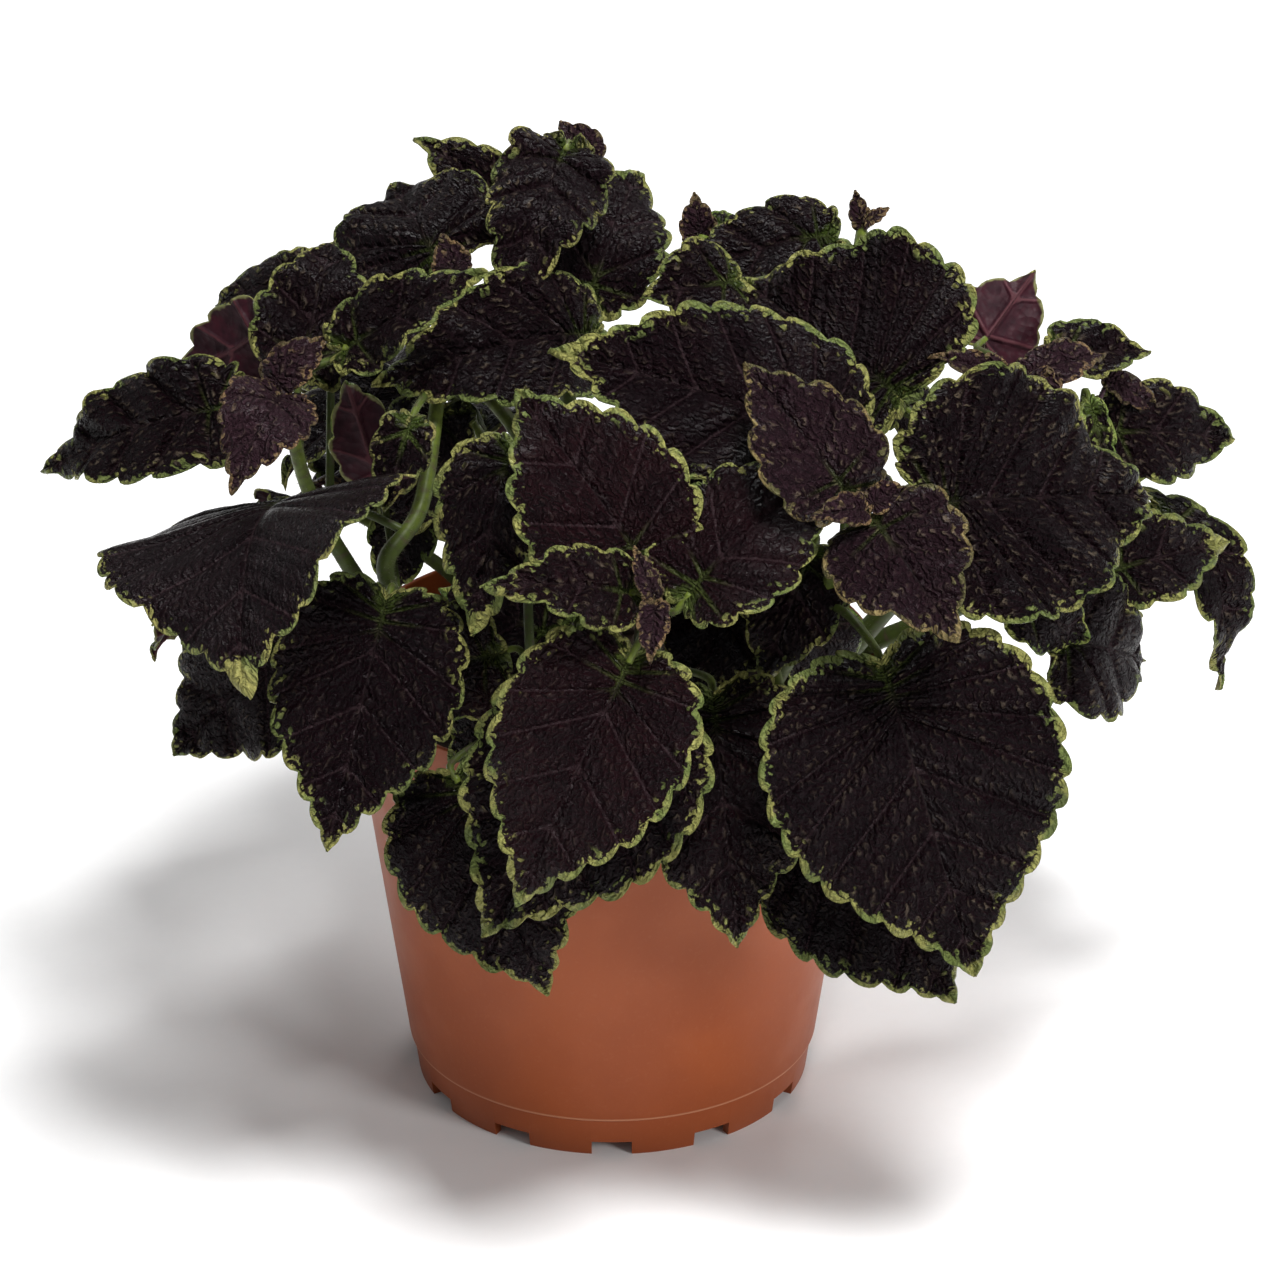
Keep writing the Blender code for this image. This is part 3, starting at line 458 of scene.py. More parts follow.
def petiole_route(leaf, path, pair):
    """The stalk's points, from inside the stem, over the pot's rim, to the blade's base from beneath."""
    base = leaf.base
    if leaf.young:
        return [petiole_start(leaf, path, YOUNG_PETIOLE_LENGTH)]
    start = petiole_start(leaf, path, PETIOLE_LENGTH + PAIR_SPACING * pair)
    neck = base - (leaf.axis * 0.6 + leaf.normal * 0.8) * PETIOLE_NECK
    middle = start.lerp(neck, 0.5) + UP * (start - neck).length * PETIOLE_BEND
    middle.z = max(middle.z, POT_HEIGHT + RIM_CLEARANCE)
    return [start, middle, neck]


def around(angle, radius, height=0):
    """The point at this angle about the pot's axis."""
    return Vector((radius * math.cos(angle), radius * math.sin(angle), height))


def back_leaves(tip, lean, layout, draw):
    """A back stem's leaves: the longer a leaf, the lower it sits on the stem and the more it droops."""
    out = around(lean, 1)
    leaves = []
    for turn, below, length, droop, teeth in layout:
        angle = lean + math.radians(turn + draw.uniform(-1, 1) * BACK_SCATTER)
        way = around(angle, 1)
        seat = tip - (UP + out * 0.5) * below * MM
        base = seat + (way + UP * 0.5) * length * BACK_PETIOLE_SHARE * MM
        end = base + (way - UP * droop).normalized() * length * MM
        leaves.append(leaf(base, end, BACK_WIDTH, UP + way * 0.6, teeth=teeth, **BACK_FORM))
    return leaves


def all_stems():
    """Every leafy stem as its name, its foot, its route and its leaves."""
    for name, (foot, route, leaves) in STEMS.items():
        route = [view_point(*point) for point in route]
        yield name, foot, route, [view_leaf(*places, **form) for *places, form in leaves]
    draw = random.Random(BACK_SEED)
    for name, (foot, lean, reach, height, high) in BACK_STEMS.items():
        lean = math.radians(lean)
        tip = around(lean, reach, height) * MM
        middle = Vector((tip.x / 2, tip.y / 2, tip.z - BACK_STEM_RISE))
        leaves = back_leaves(tip, lean, HIGH_LEAVES if high else LOW_LEAVES, draw)
        yield name, foot, [middle, tip], leaves


def linked(name, data):
    """A new object of the scene that holds this data."""
    obj = bpy.data.objects.new(name, data)
    bpy.context.scene.collection.objects.link(obj)
    return obj


class Sheet:
    """Points, faces and the values that the materials read, gathered into one mesh."""

    VALUES = ("place", "look", "rim", "rows", "flat")

    def __init__(self):
        self.points = []
        self.faces = []
        self.kinds = []
        self.values = {name: [] for name in self.VALUES}

    def add(self, points, faces, kinds, **values):
        """Adds points, faces of their indexes, each face's material index, and vectors at the points."""
        first = sum(map(len, self.points))
        self.points.append(points)
        self.faces += [[first + corner for corner in face] for face in faces]
        self.kinds += kinds
        for name in self.VALUES:
            self.values[name].append(np.broadcast_to(values.get(name, 0.0), (len(points), 3)))

    def to_object(self, name, materials):
        """The object that holds it all, laid out from the pot's axis and carried to its place."""
        mesh = bpy.data.meshes.new(name)
        places = np.concatenate(self.points) + np.array(POT_PLACE)
        mesh.from_pydata(places.tolist(), [], self.faces)
        for key in self.VALUES:
            attribute = mesh.attributes.new(key, "FLOAT_VECTOR", "POINT")
            values = np.concatenate(self.values[key]).astype(np.float32)
            attribute.data.foreach_set("vector", values.ravel())
        for material in materials:
            mesh.materials.append(material)
        mesh.polygons.foreach_set("material_index", np.array(self.kinds, dtype=np.int32))
        mesh.shade_smooth()
        return linked(name, mesh)


def outline(t, width):
    """A heart-shaped half outline at each t, from the petiole at 0 to the tip at 1, in leaf lengths."""
    half = width / 2
    lobe = np.array([(0, 0), (-BASE_LOBE, half / 4), (-BASE_LOBE / 2, half), (WIDEST_AT, half)])
    taper = np.array([(WIDEST_AT, half), (TAPER_FROM, half), (TIP_FROM, half * TIP_WIDTH), (1, 0)])
    u = np.where(t < LOBE_SHARE, t / LOBE_SHARE, (t - LOBE_SHARE) / (1 - LOBE_SHARE))
    weights = np.stack([(1 - u) ** 3, 3 * u * (1 - u) ** 2, 3 * u**2 * (1 - u), u**3], axis=-1)
    edge = np.where((t < LOBE_SHARE)[:, None], weights @ lobe, weights @ taper)
    edge[:, 1] *= 1 - TIP_SLIMMING * np.clip((edge[:, 0] - TAPER_FROM) / (1 - TAPER_FROM), 0, 1)
    return edge


def distance_to_lines(points, starts, ends):
    """Each point's distance to the nearest of the segments, in the plane."""
    run = ends - starts
    away = points[:, None] - starts[None]
    share = np.clip((away * run).sum(-1) / np.maximum((run * run).sum(-1), 1e-12), 0, 1)
    return np.linalg.norm(away - share[..., None] * run, axis=-1).min(axis=1)


def blade_grid(leaf):
    """The blade's flat grid: its rows run from the midrib out to the toothed edge, along the side veins."""
    size = leaf.length / MM
    half_edge = size * (EDGE_LENGTH + leaf.width / 2)
    pitch = YOUNG_PITCH if leaf.young else CRENATION_PITCH
    lobes = max(FEWEST_LOBES, round(half_edge / pitch))
    fine = size > BIG_LEAF
    rows = lobes * (ROWS_A_LOBE if fine else ROWS_A_LOBE - 1) + 1
    t = np.linspace(*EDGE_SPAN, rows)
    rim = outline(t, leaf.width)
    vein = np.maximum(rim[:, 0] - VEIN_SLANT * rim[:, 1], SIDE_VEIN_START * t)
    vein[-1] = rim[-1, 0]
    reach = np.maximum(np.hypot(rim[:, 0] - vein, rim[:, 1]), 1e-4)
    turn = t * lobes % 1
    notch = 1 - np.sqrt(1 - NOTCH_ROUNDNESS * (2 * turn**LOBE_LEAN - 1) ** 2)
    depth = CRENATION_DEPTH / MM / size / reach * min(1, size / BIG_LEAF)
    pull = 1 - np.minimum(depth, DEEPEST_NOTCH) * notch * np.minimum((1 - t) / TIP_FADE, 1)
    edge = np.stack([vein + (rim[:, 0] - vein) * pull, rim[:, 1] * pull], axis=-1)
    steps = COLUMNS if fine else COLUMNS * 2 // 3
    share = (1 - np.cos(math.pi * np.linspace(0, 1, steps + 1))) / 2
    hand = np.concatenate([-share[:0:-1], share])[None]
    spread = np.abs(hand)
    along = vein[:, None] + (edge[:, 0] - vein)[:, None] * spread
    across = edge[:, 1:] * hand
    veins = max(FEWEST_VEINS, round(half_edge * MM / VEIN_PITCH))
    at = np.searchsorted(t, np.arange(1, veins) / veins)
    band = np.interp(t, t[[0, *at, rows - 1]], np.arange(veins + 1))[:, None] + 0 * hand
    plane = np.stack([along.ravel(), np.abs(across).ravel()], axis=-1)
    midrib = np.stack([vein[at], 0 * vein[at]], axis=-1)
    shape = along.shape
    return SimpleNamespace(
        size=size,
        t=t[:, None] + 0 * hand,
        hand=hand + 0 * along,
        along=along,
        across=across,
        band=band,
        crown=1 - notch[:, None] + 0 * hand,
        cross=spread * reach[:, None] * leaf.length / CROSS_VEIN_PITCH,
        edge=distance_to_lines(plane, edge[:-1], edge[1:]).reshape(shape) * size,
        vein=distance_to_lines(plane, midrib, edge[at]).reshape(shape) * size,
        mid=np.abs(across) * size,
        base=np.hypot(along, across) * size,
        tip=np.hypot(1 - along, across) * size,
    )


def relief(leaf, grid, draw):
    """How far the blade stands out along its normal: panels between veins, a grooved midrib, waves."""
    scale = min(1, grid.size / BIG_LEAF)
    spread = np.abs(grid.hand)
    phase = [draw.uniform(0, math.tau) for _ in range(5)]
    panel = np.abs(np.sin(math.pi * grid.band)) ** PANEL_CROWN - 0.5
    panel *= 1 - RIPPLE + RIPPLE * np.sin(math.pi * grid.cross + phase[0])
    calm = np.clip(grid.edge / CALM_EDGE, CALM_SHARE, 1) * np.minimum(grid.mid / CALM_MIDRIB, 1)
    height = PUCKER * leaf.pucker * panel * calm
    height -= GROOVE_DEPTH * np.exp(-((grid.mid * MM / GROOVE_WIDTH) ** 2))
    side_groove = np.exp(-((grid.vein * MM / GROOVE_WIDTH / SIDE_GROOVE_WIDTH) ** 2))
    height -= GROOVE_DEPTH * SIDE_GROOVE_DEPTH * side_groove * leaf.pucker
    for index, rate in enumerate(RUFFLE_RATES):
        wave = np.sin(math.tau * rate * grid.t + phase[index + 1] + (grid.hand > 0) * phase[index + 3])
        height += RUFFLE * wave * spread**3 / (index + 1)
    height += PLEAT * leaf.pucker * np.sin(math.pi * grid.band + phase[4]) * spread**1.5
    swell = SWELL_RATES[0] * grid.along + SWELL_RATES[1] * grid.across
    height += SWELL * np.sin(math.tau * swell + phase[3])
    height -= LOBE_DROOP * grid.crown * spread**8
    return height * scale


def add_blade(sheet, leaf, draw):
    """A blade with rounded teeth, veins in grooves and a puckered surface, as a thin closed shell."""
    grid = blade_grid(leaf)
    along, across = grid.along, grid.across
    rise = leaf.arch * 4 * along * (1 - along) + leaf.fold * np.abs(across)
    rise += relief(leaf, grid, draw) / leaf.length
    axis, side, up = (np.array(part) for part in (leaf.axis, leaf.side, leaf.normal))
    offset = along[..., None] * axis + across[..., None] * side + rise[..., None] * up
    middle = np.array(leaf.base) + leaf.length * offset
    normal = np.cross(np.gradient(middle, axis=0), np.gradient(middle, axis=1))
    normal /= np.maximum(np.linalg.norm(normal, axis=-1, keepdims=True), 1e-12)
    if (normal @ up).sum() < 0:
        normal = -normal
    half = normal * LEAF_THICKNESS / 2
    points = np.concatenate([middle + half, middle - half]).reshape(-1, 3)

    count = along.size
    index = np.arange(count).reshape(along.shape)
    quads = np.stack([index[:-1, :-1], index[:-1, 1:], index[1:, 1:], index[1:, :-1]], axis=-1).reshape(-1, 4)
    ring = np.concatenate([index[0, :-1], index[:-1, -1], index[-1, :0:-1], index[:0:-1, 0]])
    wall = np.stack([ring, ring + count, np.roll(ring, -1) + count, np.roll(ring, -1)], axis=-1)
    corner = points[quads]
    facing = np.cross(corner[:, 1] - corner[:, 0], corner[:, 3] - corner[:, 0]) @ up
    if facing.sum() < 0:
        quads = quads[:, ::-1]
        wall = wall[:, ::-1]
    faces = np.concatenate([quads, quads[:, ::-1] + count, wall]).tolist()
    kinds = [UPPER] * len(quads) + [UNDER] * len(quads) + [UPPER] * len(wall)

    shift = draw.uniform(0, LEAF_SHIFT)
    rim_width = leaf.margin * (MARGIN_AT_NOTCH + MARGIN_AT_CROWN * grid.crown)
    blank = 0 * along
    values = {
        "place": (grid.edge, np.minimum(grid.vein, grid.mid * 0.8), grid.base),
        "look": (blank + leaf.red, blank + leaf.tan, blank + leaf.dusk),
        "rim": (rim_width, grid.tip - leaf.tip_mm, blank + leaf.green),
        "rows": (grid.band, grid.cross, blank + leaf.pucker),
        "flat": (along * grid.size, grid.mid + (across < 0) * HALF_SHIFT, blank + shift),
    }
    for key, parts in values.items():
        values[key] = np.tile(np.stack(parts, axis=-1).reshape(-1, 3), (2, 1))
    sheet.add(points, faces, kinds, **values)


def ring_faces(count, sides):
    """The walls between rings of points, and the faces that close the first ring and the last."""
    index = np.arange(count).reshape(-1, sides)
    ahead = np.roll(index, -1, axis=1)
    walls = np.stack([index[:-1], ahead[:-1], ahead[1:], index[1:]], axis=-1).reshape(-1, 4)
    return [*walls.tolist(), index[0][::-1].tolist(), index[-1].tolist()]


def add_tube(sheet, path, radii, young):
    """A squarish tube along the path, its radius running through the given ones, closed at its ends."""
    places = np.array(path)
    way = np.gradient(places, axis=0)
    way /= np.linalg.norm(way, axis=1, keepdims=True)
    side = np.cross(way[0], TUBE_START)
    angles = np.arange(TUBE_SIDES) * math.tau / TUBE_SIDES
    square = 1 + SQUARENESS * np.cos(4 * angles)
    share = np.linspace(0, 1, len(places))
    radius = np.interp(share, np.linspace(0, 1, len(radii)), radii)
    rings = []
    for index, place in enumerate(places):
        side = side - side @ way[index] * way[index]
        side /= np.linalg.norm(side)
        up = np.cross(way[index], side)
        ring = np.cos(angles)[:, None] * side + np.sin(angles)[:, None] * up
        rings.append(place + ring * (radius[index] * square)[:, None])
    points = np.concatenate(rings)
    faces = ring_faces(len(points), TUBE_SIDES)
    length = np.cumsum(np.linalg.norm(np.diff(places, axis=0, prepend=places[:1]), axis=1)) / MM
    blank = np.zeros(len(points))
    flat = np.stack([np.repeat(length, TUBE_SIDES), np.tile(angles, len(places)), blank], axis=-1)
    look = np.stack([np.repeat(share, TUBE_SIDES), blank + young, blank], axis=-1)
    sheet.add(points, faces, [STALK] * len(faces), look=look, flat=flat)


def add_hairs(sheet, path, radii, count, draw):
    """Short soft hairs that stand out from a stalk, each a slim three-sided spike."""
    points = []
    faces = []
    for _ in range(count):
        share = draw.uniform(*HAIR_SPAN) * (len(path) - 1)
        index = int(share)
        way = (path[index + 1] - path[index]).normalized()
        out = Vector([draw.gauss(0, 1) for _ in range(3)])
        out = (out - out.dot(way) * way).normalized()
        radius = radii[0] + (radii[-1] - radii[0]) * share / (len(path) - 1)
        root = path[index].lerp(path[index + 1], share - index) + out * radius * 0.9
        side = way.cross(out) * HAIR_WIDTH / 2
        tip = root + (out + way * draw.uniform(*HAIR_LEAN)) * HAIR_LENGTH * draw.uniform(*HAIR_SCATTER)
        first, second, third, top = range(len(points), len(points) + 4)
        points += [root + side, root - side, root + way * HAIR_WIDTH, tip]
        faces += [[first, second, top], [second, third, top], [third, first, top]]
    look = np.tile((0.5, 0.5, 1.0), (len(points), 1))
    sheet.add(np.array(points), faces, [STALK] * len(faces), look=look)


def add_stem(name, foot, route, leaves, materials):
    """One leafy stem: its stem, its stalks and its blades."""
    draw = random.Random(name)
    sheet = Sheet()
    bottom = Vector((foot[0] * MM, foot[1] * MM, SOIL_LEVEL - HOLE_DEPTH + GAP))
    collar = Vector((bottom.x, bottom.y, SOIL_LEVEL + STEM_COLLAR))
    seats = smooth_path([collar, *route], SEAT_STEPS)
    stem = [bottom, *seats]
    radii = (STEM_FOOT_RADIUS, STEM_TIP_RADIUS)
    add_tube(sheet, stem, radii, 0.0)
    add_hairs(sheet, stem, radii, STEM_HAIRS, draw)
    for index, leaf in enumerate(leaves):
        start = petiole_route(leaf, seats, index // 2)
        inside = leaf.base + leaf.axis * STALK_SINK - leaf.normal * STALK_RADIUS * 0.6
        points = [*start, inside] if len(start) > 1 else [start[0], start[0].lerp(inside, 0.5), inside]
        stalk = smooth_path(points, STALK_STEPS)
        share = YOUNG_STALK if leaf.young else 1
        radii = (STALK_RADIUS * share, STALK_TIP_RADIUS * share)
        add_tube(sheet, stalk, radii, leaf.dusk)
        add_hairs(sheet, stalk, radii, STALK_HAIRS, draw)
        add_blade(sheet, leaf, draw)
    obj = sheet.to_object("foliage_" + name.removeprefix("stem_"), materials)
    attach(obj, "root")
    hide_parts(name)


def arc(centre, radius, start, end, steps):
    """Points of a circle's arc as (radius, height) pairs, between two angles in degrees."""
    angles = [math.radians(start + (end - start) * step / steps) for step in range(steps + 1)]
    return [(centre[0] + radius * math.cos(angle), centre[1] + radius * math.sin(angle)) for angle in angles]


def mesh_object(name, mesh):
    """A new object that holds this bmesh, at the pot's place."""
    data = bpy.data.meshes.new(name)
    mesh.to_mesh(data)
    mesh.free()
    obj = linked(name, data)
    obj.location = POT_PLACE
    return obj


def pot_outline():
    """The pot's closed outline as (radius, height) pairs, down its outer side from inside its floor."""
    collar_foot = POT_HEIGHT - COLLAR_HEIGHT
    wall_top = RIM_RADIUS - COLLAR_STANDOUT
    floor_top = FLOOR_UNDERSIDE + FLOOR_THICKNESS
    inner_foot = STEP_RADIUS - WALL - (STEP_HEIGHT - floor_top) * pot_taper()
    lip = WALL / 2
    step = STEP_LEDGE / 2
    return [
        (0, floor_top),
        (inner_foot, floor_top),
        (STEP_RADIUS + STEP_LEDGE - WALL, STEP_HEIGHT + INNER_STEP_RISE),
        (wall_top - WALL, collar_foot),
        (RIM_RADIUS - WALL, collar_foot + COLLAR_SHOULDER),
        *arc((RIM_RADIUS - lip, POT_HEIGHT - lip), lip, 180, 0, 8),
        (RIM_RADIUS - COLLAR_TAPER, collar_foot + ROUNDING),
        (RIM_RADIUS - COLLAR_TAPER - ROUNDING, collar_foot),
        (wall_top, collar_foot),
        *arc((STEP_RADIUS + step, STEP_HEIGHT + STEP_SLOPE), step, 0, -90, 4),
        (STEP_RADIUS, STEP_HEIGHT),
        (FOOT_RADIUS + ROUNDING / 2, ROUNDING),
        (FOOT_RADIUS, 0),
        (FOOT_RADIUS - FOOT_RING, 0),
        (FOOT_RADIUS - FOOT_RING, FLOOR_UNDERSIDE),
        (0, FLOOR_UNDERSIDE),
    ]


def pot_taper():
    """How much the wall's radius grows for each metre of height."""
    run = RIM_RADIUS - COLLAR_STANDOUT - STEP_RADIUS - STEP_LEDGE
    return run / (POT_HEIGHT - COLLAR_HEIGHT - STEP_HEIGHT)


def foot_notch(index):
    """A block that cuts one of the notches of the foot ring."""
    mesh = bmesh.new()
    bmesh.ops.create_cube(mesh, size=1)
    notch = mesh_object(f"notch_{index}", mesh)
    angle = index * math.tau / FOOT_NOTCHES - math.pi / 2
    notch.scale = (NOTCH_REACH, 2 * FOOT_RADIUS * math.tan(NOTCH_ANGLE / 2), 2 * NOTCH_HEIGHT)
    notch.rotation_euler.z = angle
    notch.location += around(angle, FOOT_RADIUS)
    return notch


def drain_hole(index):
    """A rod that cuts one of the drain holes."""
    mesh = bmesh.new()
    form = {"segments": DRAIN_SIDES, "radius1": DRAIN_RADIUS, "radius2": DRAIN_RADIUS, "depth": STEP_HEIGHT}
    bmesh.ops.create_cone(mesh, cap_ends=True, **form)
    hole = mesh_object(f"drain_{index}", mesh)
    hole.location += around((index + 0.5) * math.tau / DRAIN_HOLES, DRAIN_CIRCLE, STEP_HEIGHT / 2)
    return hole


def add_pot(material):
    """The pot, turned from its outline, with the notches of its foot ring and its drain holes cut out."""
    mesh = bmesh.new()
    ring = [mesh.verts.new((radius, 0, height)) for radius, height in pot_outline()]
    for start, end in zip(ring, ring[1:]):
        mesh.edges.new((start, end))
    pot = mesh_object("nursery_pot", mesh)
    screw = pot.modifiers.new("turn", "SCREW")
    screw.steps = screw.render_steps = POT_SIDES
    screw.use_merge_vertices = True
    screw.merge_threshold = MERGE_DISTANCE
    cutters = bpy.data.collections.new("pot_cutters")
    bpy.context.scene.collection.children.link(cutters)
    for cutter in [*map(foot_notch, range(FOOT_NOTCHES)), *map(drain_hole, range(DRAIN_HOLES))]:
        cutters.objects.link(cutter)
    carve = pot.modifiers.new("cut", "BOOLEAN")
    carve.operand_type = "COLLECTION"
    carve.collection = cutters
    bpy.context.view_layer.update()
    graph = bpy.context.evaluated_depsgraph_get()
    pot.data = bpy.data.meshes.new_from_object(pot.evaluated_get(graph))
    pot.modifiers.clear()
    for cutter in list(cutters.objects):
        bpy.data.objects.remove(cutter)
    bpy.data.collections.remove(cutters)
    pot.data.shade_smooth()
    pot.data.set_sharp_from_angle(angle=SHARP_ANGLE)
    pot.data.materials.clear()
    pot.data.materials.append(material)
    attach(pot, "root")
    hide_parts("pot")


def ball():
    """The points and faces of a ball of unit radius."""
    mesh = bmesh.new()
    bmesh.ops.create_icosphere(mesh, subdivisions=2, radius=1)
    points = np.array([vert.co for vert in mesh.verts])
    faces = [[vert.index for vert in face.verts] for face in mesh.faces]
    mesh.free()
    return points, faces


def soil_plug(foot, top, bottom):
    """The points and faces of the soil's plug: its foot, its side and its lumpy top."""
    radii = [foot, *(top * (1 - step / SOIL_RINGS) for step in range(SOIL_RINGS))]
    points = []
    for ring, radius in enumerate(radii):
        for step in range(SOIL_SIDES):
            place = around(step * math.tau / SOIL_SIDES, radius, SOIL_LEVEL if ring else bottom)
            if ring:
                place.z += SOIL_LUMP * noise.fractal(place / SOIL_LUMP_PITCH, *SOIL_LUMP_FORM)
            points.append(place)
    return np.array(points), ring_faces(len(points), SOIL_SIDES)


def crumb(ball_points, reach, draw):
    """The points of one loose crumb, somewhere on the soil within this reach of the pot's axis."""
    radius = reach * math.sqrt(draw.uniform(0, 1))
    place = around(draw.uniform(0, math.tau), radius, SOIL_LEVEL + CRUMB_RISE)
    size = draw.uniform(*CRUMB_SIZE) * np.array([draw.uniform(*span) for span in CRUMB_SHAPE])
    dents = np.array([draw.uniform(*CRUMB_DENTS) for _ in ball_points])
    turn = draw.uniform(0, math.tau)
    axis = (draw.gauss(0, CRUMB_TILT), draw.gauss(0, CRUMB_TILT), 1)
    rotation = np.array(Matrix.Rotation(turn, 3, axis))
    return np.array(place) + (ball_points * dents[:, None] * size) @ rotation.T


def add_soil(material):
    """The soil: a plug with a crumbly top, and loose crumbs of peat and bark on it."""
    draw = random.Random(SOIL_SEED)
    bottom = FLOOR_UNDERSIDE + FLOOR_THICKNESS + GAP
    foot = STEP_RADIUS - WALL - GAP - (STEP_HEIGHT - bottom) * pot_taper()
    top = STEP_RADIUS + STEP_LEDGE - WALL - GAP + (SOIL_LEVEL - STEP_HEIGHT) * pot_taper()
    sheet = Sheet()
    points, faces = soil_plug(foot, top, bottom)
    sheet.add(points, faces, [0] * len(faces))
    points, faces = ball()
    for _ in range(CRUMBS):
        sheet.add(crumb(points, top - CRUMB_SIZE[1], draw), faces, [0] * len(faces))
    soil = sheet.to_object("potting_soil", [material])
    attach(soil, "root")
    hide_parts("soil")


class Graph:
    """A node material and the short forms that its nodes are made with."""

    def __init__(self, name, **constants):
        self.material = bpy.data.materials.new(name)
        self.material.use_nodes = True
        self.tree = self.material.node_tree
        self.shader = self.tree.nodes["Principled BSDF"]
        for socket, value in constants.items():
            self.shader.inputs[socket.replace("_", " ")].default_value = value

    def feed(self, socket, value):
        """Links a node's output to the socket, or sets the socket to a number or a colour."""
        if isinstance(value, bpy.types.NodeSocket):
            self.tree.links.new(value, socket)
        elif isinstance(value, tuple) and len(socket.default_value) == 4:
            socket.default_value = (*value, 1)
        else:
            socket.default_value = value

    def node(self, kind, inputs, **settings):
        """A node of this kind, with its inputs given by name or index."""
        node = self.tree.nodes.new("ShaderNode" + kind)
        for key, value in settings.items():
            setattr(node, key, value)
        for key, value in inputs.items():
            self.feed(node.inputs[key], value)
        return node

    def math(self, operation, *values):
        return self.node("Math", dict(enumerate(values)), operation=operation).outputs[0]

    def times(self, first, second):
        return self.math("MULTIPLY", first, second)

    def line(self, value, slope, start):
        """The value times the slope, counted from the start."""
        return self.math("MULTIPLY_ADD", value, slope, start)

    def ramp(self, value, start, end, low=0, high=1):
        """A smooth step from low to high while the value goes from start to end."""
        inputs = {"Value": value, "From Min": start, "From Max": end, "To Min": low, "To Max": high}
        return self.node("MapRange", inputs, interpolation_type="SMOOTHSTEP").outputs[0]

    def mix(self, share, first, second, blend="MIX"):
        """The second colour over the first by this share."""
        inputs = {0: share, 6: first, 7: second}
        return self.node("Mix", inputs, data_type="RGBA", blend_type=blend).outputs[2]

    def noise(self, place, scale, detail=2):
        """Cloudy noise, with scale in waves for each unit of the place."""
        inputs = {"Vector": place, "Scale": scale, "Detail": detail}
        return self.node("TexNoise", inputs).outputs[0]

    def cells(self, place, scale):
        """The distance to the nearest of scattered points."""
        return self.node("TexVoronoi", {"Vector": place, "Scale": scale}).outputs["Distance"]

    def wave(self, value):
        """0 at each whole number and 1 halfway to the next."""
        return self.math("ABSOLUTE", self.math("SINE", self.times(value, math.pi)))

    def attribute(self, name):
        return self.node("Attribute", {}, attribute_name=name).outputs["Vector"]

    def parts(self, vector):
        """The three parts of a vector, or of the vector attribute of this name."""
        if isinstance(vector, str):
            vector = self.attribute(vector)
        return tuple(self.node("SeparateXYZ", {0: vector}).outputs)

    def place(self):
        """Where the surface is, in metres."""
        return self.node("TexCoord", {}).outputs["Object"]

    def finish(self, colour, roughness, height, depth):
        """Feeds the shader its colour and roughness, and its normal from a height of this depth in metres."""
        self.feed(self.shader.inputs["Base Color"], colour)
        self.feed(self.shader.inputs["Roughness"], roughness)
        bump = self.node("Bump", {"Height": height, "Distance": depth, "Strength": 1})
        self.feed(self.shader.inputs["Normal"], bump.outputs[0])
        return self.material


def sheen(weight, roughness, tint):
    """The shader's constants for a velvety surface."""
    return {"Sheen_Weight": weight, "Sheen_Roughness": roughness, "Sheen_Tint": (*tint, 1)}


